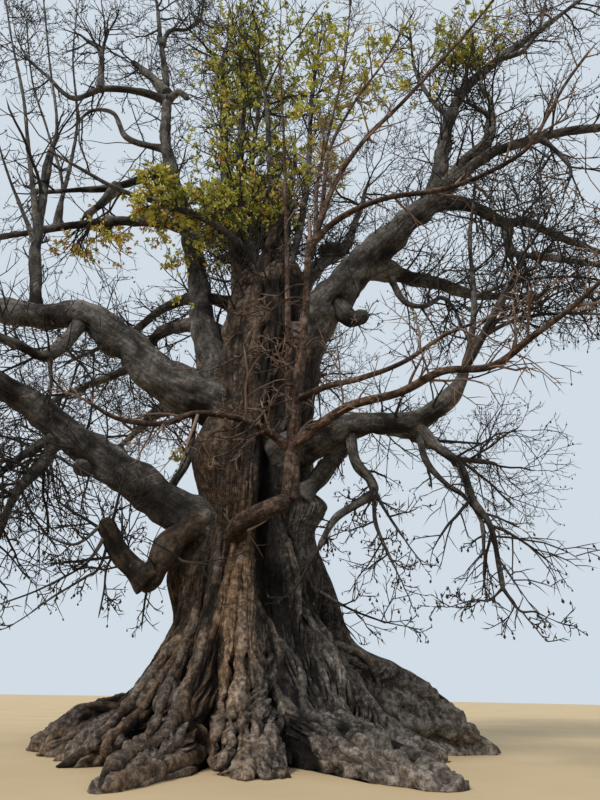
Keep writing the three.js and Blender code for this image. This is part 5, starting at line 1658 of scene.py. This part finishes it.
side_branches = together([branches_on(index, name) for index, name in enumerate(LIMBS)])
end_twigs = [twig_on_end(index, name) for index, name in enumerate(LIMBS)
             if name not in stem_of and THIN_TIP <= LIMBS[name][2][1] <= THICK_TIP]
half_way = side_branches["start"] + 0.5 * side_branches["length"][:, None] * side_branches["along"]
leafiness, _ = leaf_room(half_way)
side_branches = kept(side_branches, draw(side_branches["number"], 31) < np.maximum(1 / LEAFY_MORE, leafiness))
print(len(side_branches["number"]), "branches on the boughs themselves,", len(end_twigs), "on limbs' ends")

# %% Which twigs may stay
BEYOND_BOX, LOWEST_TWIG = 0.1, 2.5
CROOK_WAVES, CROOK_PATCHES, CROOK_SEEDS = 3, 9973, (31, 32, 33)


def in_trunk(points):
    """Whether each point is inside the trunk: nearer to its axis than its skin is, and below its top."""
    across, height = points[:, 0] - trunk_axis(points[:, 2]), points[:, 2]
    heading = np.degrees(np.arctan2(points[:, 1], across))
    skin_at = trunk_radius(heading, np.minimum(height, TRUNK_TOP))
    return (np.hypot(across, points[:, 1]) < skin_at) & (height < TRUNK_TOP)


def may_stay(paths):
    """Whether each path keeps out of the trunk, off the ground and inside the solids' box, at its tip and
    at its middle."""
    stays = np.ones(len(paths), bool)
    for points in (paths[:, -1], paths[:, paths.shape[1] // 2]):
        stays &= ((points > SOLID_BOX[0] - BEYOND_BOX) & (points < SOLID_BOX[1] + BEYOND_BOX)).all(-1)
        stays &= points[:, 2] > LOWEST_TWIG
        stays &= ~in_trunk(points)
    return stays


def crooked(corners, rings, twigs, amount):
    """Each twig's corners as a line of more rings, bent aside by smooth noise that is nothing at its foot:
    amount times its length, times noise, times an ease over its first third."""
    shares = np.linspace(0, 1, rings)
    spot = shares * (corners.shape[1] - 1)
    index = np.minimum(spot.astype(int), corners.shape[1] - 2)
    line = corners[:, index] + (corners[:, index + 1] - corners[:, index]) * (spot - index)[None, :, None]
    own = (twigs["number"] % CROOK_PATCHES)[:, None]
    at = np.stack(np.broadcast_arrays(shares * CROOK_WAVES, own, 0.5), -1)
    aside = np.stack([noise(at, seed) for seed in CROOK_SEEDS], -1)
    easing = np.minimum(shares * CROOK_WAVES, 1)[None, :, None]
    return line + aside * (amount * twigs["length"])[:, None, None] * easing


print("no twig ends below", LOWEST_TWIG, "m")

# %% From stems to shoots
BRANCHES_A_STEM, TWIGS_A_BRANCH, SHOOTS_A_TWIG, TIPS_A_SHOOT = 8, 5, 5, 3
SHOOT_LENGTH, TIP_LENGTH = 0.95, 0.65
TWIG_WAVER, TIP_WAVER = 0.26, 0.3
BRANCH_CROOK, TWIG_CROOK = 0.05, 0.04
THICKER = 1.25
RED_SHOOTS = 0.4
levels = []


def grown(twigs, corners, sides):
    """The twigs that may stay, with their lines. They are kept as a level, with the sides of their skins."""
    stays = may_stay(corners) & open_sky(corners[:, -1], twigs["number"])
    levels.append((kept(twigs, stays), corners[stays], sides))
    return levels[-1][:2]


branches = borne_by(stems, stem_corners, BRANCHES_A_STEM)
branch_corners = crooked(twig_corners(branches, 2), 9, branches, BRANCH_CROOK)
branches, branch_lines = grown(branches, branch_corners, 5)

twigs = together([borne_by(branches, branch_lines, TWIGS_A_BRANCH), side_branches, *end_twigs])
twigs, twig_lines = grown(twigs, crooked(twig_corners(twigs, 3, TWIG_WAVER), 6, twigs, TWIG_CROOK), 4)

shoots = borne_by(twigs, twig_lines, SHOOTS_A_TWIG, SHOOT_LENGTH)
shoots["radius"] = shoots["radius"] * THICKER
shoots = kept(shoots, (shoots["crown"] != RED) | (draw(shoots["number"], 34) < RED_SHOOTS))
shoots, shoot_lines = grown(shoots, twig_corners(shoots, 3, TWIG_WAVER), 3)

tips = borne_by(shoots, shoot_lines, TIPS_A_SHOOT, TIP_LENGTH)
tips, tip_lines = grown(tips, twig_corners(tips, 2, TIP_WAVER), 3)
for label, (group, lines, _) in zip(("branches", "twigs", "shoots", "tips"), levels):
    print(f"{len(lines)} {label}, on average {group['length'].mean():.2f} m long")

# %% [markdown]
# ## Skins for tens of thousands of twigs
# A twig a few centimetres thick needs only three to five sides, and closes to a point. All twigs of one
# size share one layout of faces, so their points are one array and their faces are that layout shifted.

# %% Twig skins
def square_to(along, held):
    """Two unit vectors square to each direction and to each other. The first is the one held, less its part
    along the direction; the second is their cross product."""
    side = unit(held - along * (held * along).sum(-1, keepdims=True))
    return side, np.cross(along, side)


def laid_out(points, *layouts):
    """The points of many parts of one layout as one list, and each layout's faces moved on for every part."""
    starts = (np.arange(len(points)) * points.shape[1])[:, None, None]
    return points.reshape(-1, 3), *((starts + layout).reshape(-1, layout.shape[1]) for layout in layouts)


def twig_skins(lines, radii, sides):
    """Points and faces of many twigs: rings round every line but at its tip, which is one point."""
    along = unit(np.gradient(lines, axis=1))
    side, other = square_to(along, sideways_of(unit(lines[:, -1] - lines[:, 0]))[:, None])
    angle = np.linspace(0, 2 * np.pi, sides, endpoint=False)[None, None, :, None]
    rings = lines.shape[1] - 1
    outward = side[:, :-1, None] * np.cos(angle) + other[:, :-1, None] * np.sin(angle)
    ring = lines[:, :-1, None] + outward * radii[:, :-1, None, None]
    points = np.concatenate([ring.reshape(len(lines), -1, 3), lines[:, -1:]], 1)
    turn, last = np.arange(sides), (rings - 1) * sides
    tip = fan(rings * sides, last + turn, last + (turn + 1) % sides)
    foot = np.array([[0, step + 1, step] for step in range(1, sides - 1)])
    return laid_out(points, grid_faces(rings, sides), np.vstack([tip, foot]))


for crown, name in enumerate(CROWNS):
    masses = [mass for mass in MASSES if crown_of(mass) == crown]
    for label, chosen_levels in (("twigs", levels[:3]), ("tips", levels[3:])):
        parts = []
        for group, lines, sides in chosen_levels:
            chosen = group["crown"] == crown
            radii = taper_of(kept(group, chosen), lines.shape[1])
            parts.append((*twig_skins(lines[chosen], radii, sides), {}))
        points, faces, _ = joined(parts)
        finish = red_twig_bark if crown == RED else twig_bark
        add_piece(f"{label}_{name}", points, faces, finish, masses)

# %% [markdown]
# ## Pods
# In the dry season the bare shoots carry small dark pods. Each is a spindle of eight faces that hangs
# straight down from its shoot, longer than wide. More faces would be wasted on something a few pixels high.
# A shoot that has leaves bears none, so which shoots are leafy is settled first.

# %% Leafy shoots, and pods on the bare ones
POD_SHARE, POD_LONG, POD_LONGER, POD_HALF = 0.35, 0.07, 0.07, 0.3
POD_BELLY, POD_LEAN = 0.6, 0.8
SPINDLE = np.array([[0, 3, 2], [0, 4, 3], [0, 5, 4], [0, 2, 5], [1, 2, 3], [1, 3, 4], [1, 4, 5], [1, 5, 2]])

for group, lines, _ in levels[2:]:
    group["leafy"] = draw(group["number"], 30) < leaf_room(lines[:, -1])[0]
print(int(sum(group["leafy"].sum() for group, _, _ in levels[2:])), "leafy shoots and tips")


def spindles(feet, tips_at, half, lean):
    """Spindles of eight faces from feet to tips: four points round the belly, half the width from it."""
    along = unit(tips_at - feet)
    side, other = square_to(along, sideways_of(unit(along + lean)))
    belly = feet + (tips_at - feet) * POD_BELLY
    round_belly = [belly + side * half, belly + other * half, belly - side * half, belly - other * half]
    return laid_out(np.stack([feet, tips_at, *round_belly], 1), SPINDLE)


bears = (draw(tips["number"], 21) < POD_SHARE) & ~tips["leafy"] & (tips["crown"] != RED)
numbers = tips["number"][bears]
places, _ = place_on(tip_lines[bears], 0.5 + 0.5 * draw(numbers, 22))
long = POD_LONG + POD_LONGER * draw(numbers, 23)
lean = np.stack([draw(numbers, 24) - 0.5, draw(numbers, 25) - 0.5, 0 * long], -1)
drop = unit(lean * POD_LEAN - UP)
points, faces = spindles(places, places + drop * long[:, None], (POD_HALF * long)[:, None], lean)
add_piece("pods", points, [faces], pod_skin, (), np.ones(len(faces), bool))

# %% [markdown]
# ## Leaves
# One limb in the middle of the crown still has its leaves, green above and turning yellow and orange
# towards the left. A leaf is a thin folded kite: four corners, closed by four faces. Leaves grow in
# sprays round a shoot's end, and each spray is dealt one colour, so a tint keeps its place in the crown.

# %% Leaves and sprays
LEAVES_A_SPRAY, SPRAYS_A_SHOOT = 6, 2
# How far apart the sprays are, as shares of a tip and of a shoot.
TIP_SHARE, SHOOT_SHARE = 0.45, 0.3
SPRAY_STEP, LEAF_STEP = 60, 80
LEAF_SPREAD, LEAF_SPREAD_MORE, LEAF_DROOP = 30, 55, 0.15
LEAF_LONG, LEAF_LONGER, LEAF_WIDE, LEAF_BELLY, LEAF_FOLD = 0.15, 0.1, 0.42, 0.55, 0.22
KITE = np.array([[0, 1, 2], [0, 3, 1], [0, 2, 3], [1, 3, 2]])


def kites(feet, along, facing_up, long, wide):
    """Folded leaves as closed kites: foot, tip and two edges that are raised to either side of the fold."""
    side = unit(np.cross(along, facing_up))
    face = np.cross(side, along)
    middle = feet + along * long * LEAF_BELLY
    edge = face * wide * LEAF_FOLD
    edges = [middle + side * wide / 2 + edge, middle - side * wide / 2 + edge]
    return laid_out(np.stack([feet, feet + along * long, *edges], 1), KITE)


def spray_places(group, lines, share_step):
    """Where leafy twigs bear sprays, counted back from the end, the way that each runs, and its number."""
    leafy = group["leafy"]
    found = []
    for place in range(SPRAYS_A_SHOOT):
        numbers = scramble(group["number"][leafy], SPRAY_STEP + place)
        share = 1 - share_step * (place + draw(numbers, 1))
        found.append((*place_on(lines[leafy], np.clip(share, 0, 1)), numbers))
    return [np.concatenate(parts) for parts in zip(*found)]


def leaves_of(at, along, number):
    """All leaves of sprays: each leaves its shoot by the golden angle, spread by a draw, and droops."""
    parts = []
    for leaf in range(LEAVES_A_SPRAY):
        numbers = scramble(number, LEAF_STEP + leaf)
        turn = GOLDEN_TURN * leaf + 360 * draw(numbers, 1)
        off = leaving(along, turn, LEAF_SPREAD + LEAF_SPREAD_MORE * draw(numbers, 2))
        tilt = unit(np.stack([draw(numbers, 3) - 0.5, draw(numbers, 4) - 0.5, 0.5 + np.zeros(len(at))], -1))
        long = (LEAF_LONG + LEAF_LONGER * draw(numbers, 6))[:, None]
        parts.append(kites(at, unit(off - UP * LEAF_DROOP), tilt, long, long * LEAF_WIDE))
    counts = [len(points) for points, _ in parts]
    return np.vstack([points for points, _ in parts]), shifted([faces for _, faces in parts], counts)


spray_sets = [spray_places(tips, tip_lines, TIP_SHARE), spray_places(shoots, shoot_lines, SHOOT_SHARE)]
spray_at, spray_along, spray_number = (np.concatenate(parts) for parts in zip(*spray_sets))
print(len(spray_at), "sprays")

# %% Dealing the colours of leaves
ORANGE, YELLOW, YELLOW_MORE, LIME, DEEP = 0.3, 0.08, 0.75, 0.42, 0.45
turned = leaf_room(spray_at)[1]
dealt = draw(spray_number, 2)
# The first test that a spray passes gives its colour.
tests = {
    "leaves_orange": dealt < ORANGE * turned, "leaves_yellow": dealt < YELLOW + YELLOW_MORE * turned,
    "leaves_lime": draw(spray_number, 3) < LIME, "leaves_deep": draw(spray_number, 4) < DEEP,
    "leaves_green": dealt >= 0,
}
chosen_of, undealt = {}, dealt >= 0
for name, passed in tests.items():
    chosen_of[name] = undealt & passed
    undealt = undealt & ~passed
for name in LEAF_COLOURS:
    chosen = chosen_of[name]
    points, faces = leaves_of(spray_at[chosen], spray_along[chosen], spray_number[chosen])
    add_piece(name, points, [faces], leaf_skins[name], (), np.ones(len(faces), bool))

# %% [markdown]
# ## The floor
# The tree stands on a plain pale floor. It is far wider than the tree, so its edge is the horizon.

# %% The floor
FLOOR_REACH, FLOOR_SIDES, FLOOR_HEIGHT = 160, 96, -0.002
bpy.ops.mesh.primitive_circle_add(
    vertices=FLOOR_SIDES, radius=FLOOR_REACH, fill_type="NGON", location=(0, 0, FLOOR_HEIGHT),
)
floor_disc = bpy.context.object
floor_disc.name = "floor"
floor_disc.data.materials.append(plain("pale_floor", "c8b08a", 0.9, "c0a882", 0.3))
print("a floor", FLOOR_REACH, "m to every side")

# %% The whole tree, measured
print("all pieces:", sum(count for _, count in made_pieces), "triangles")
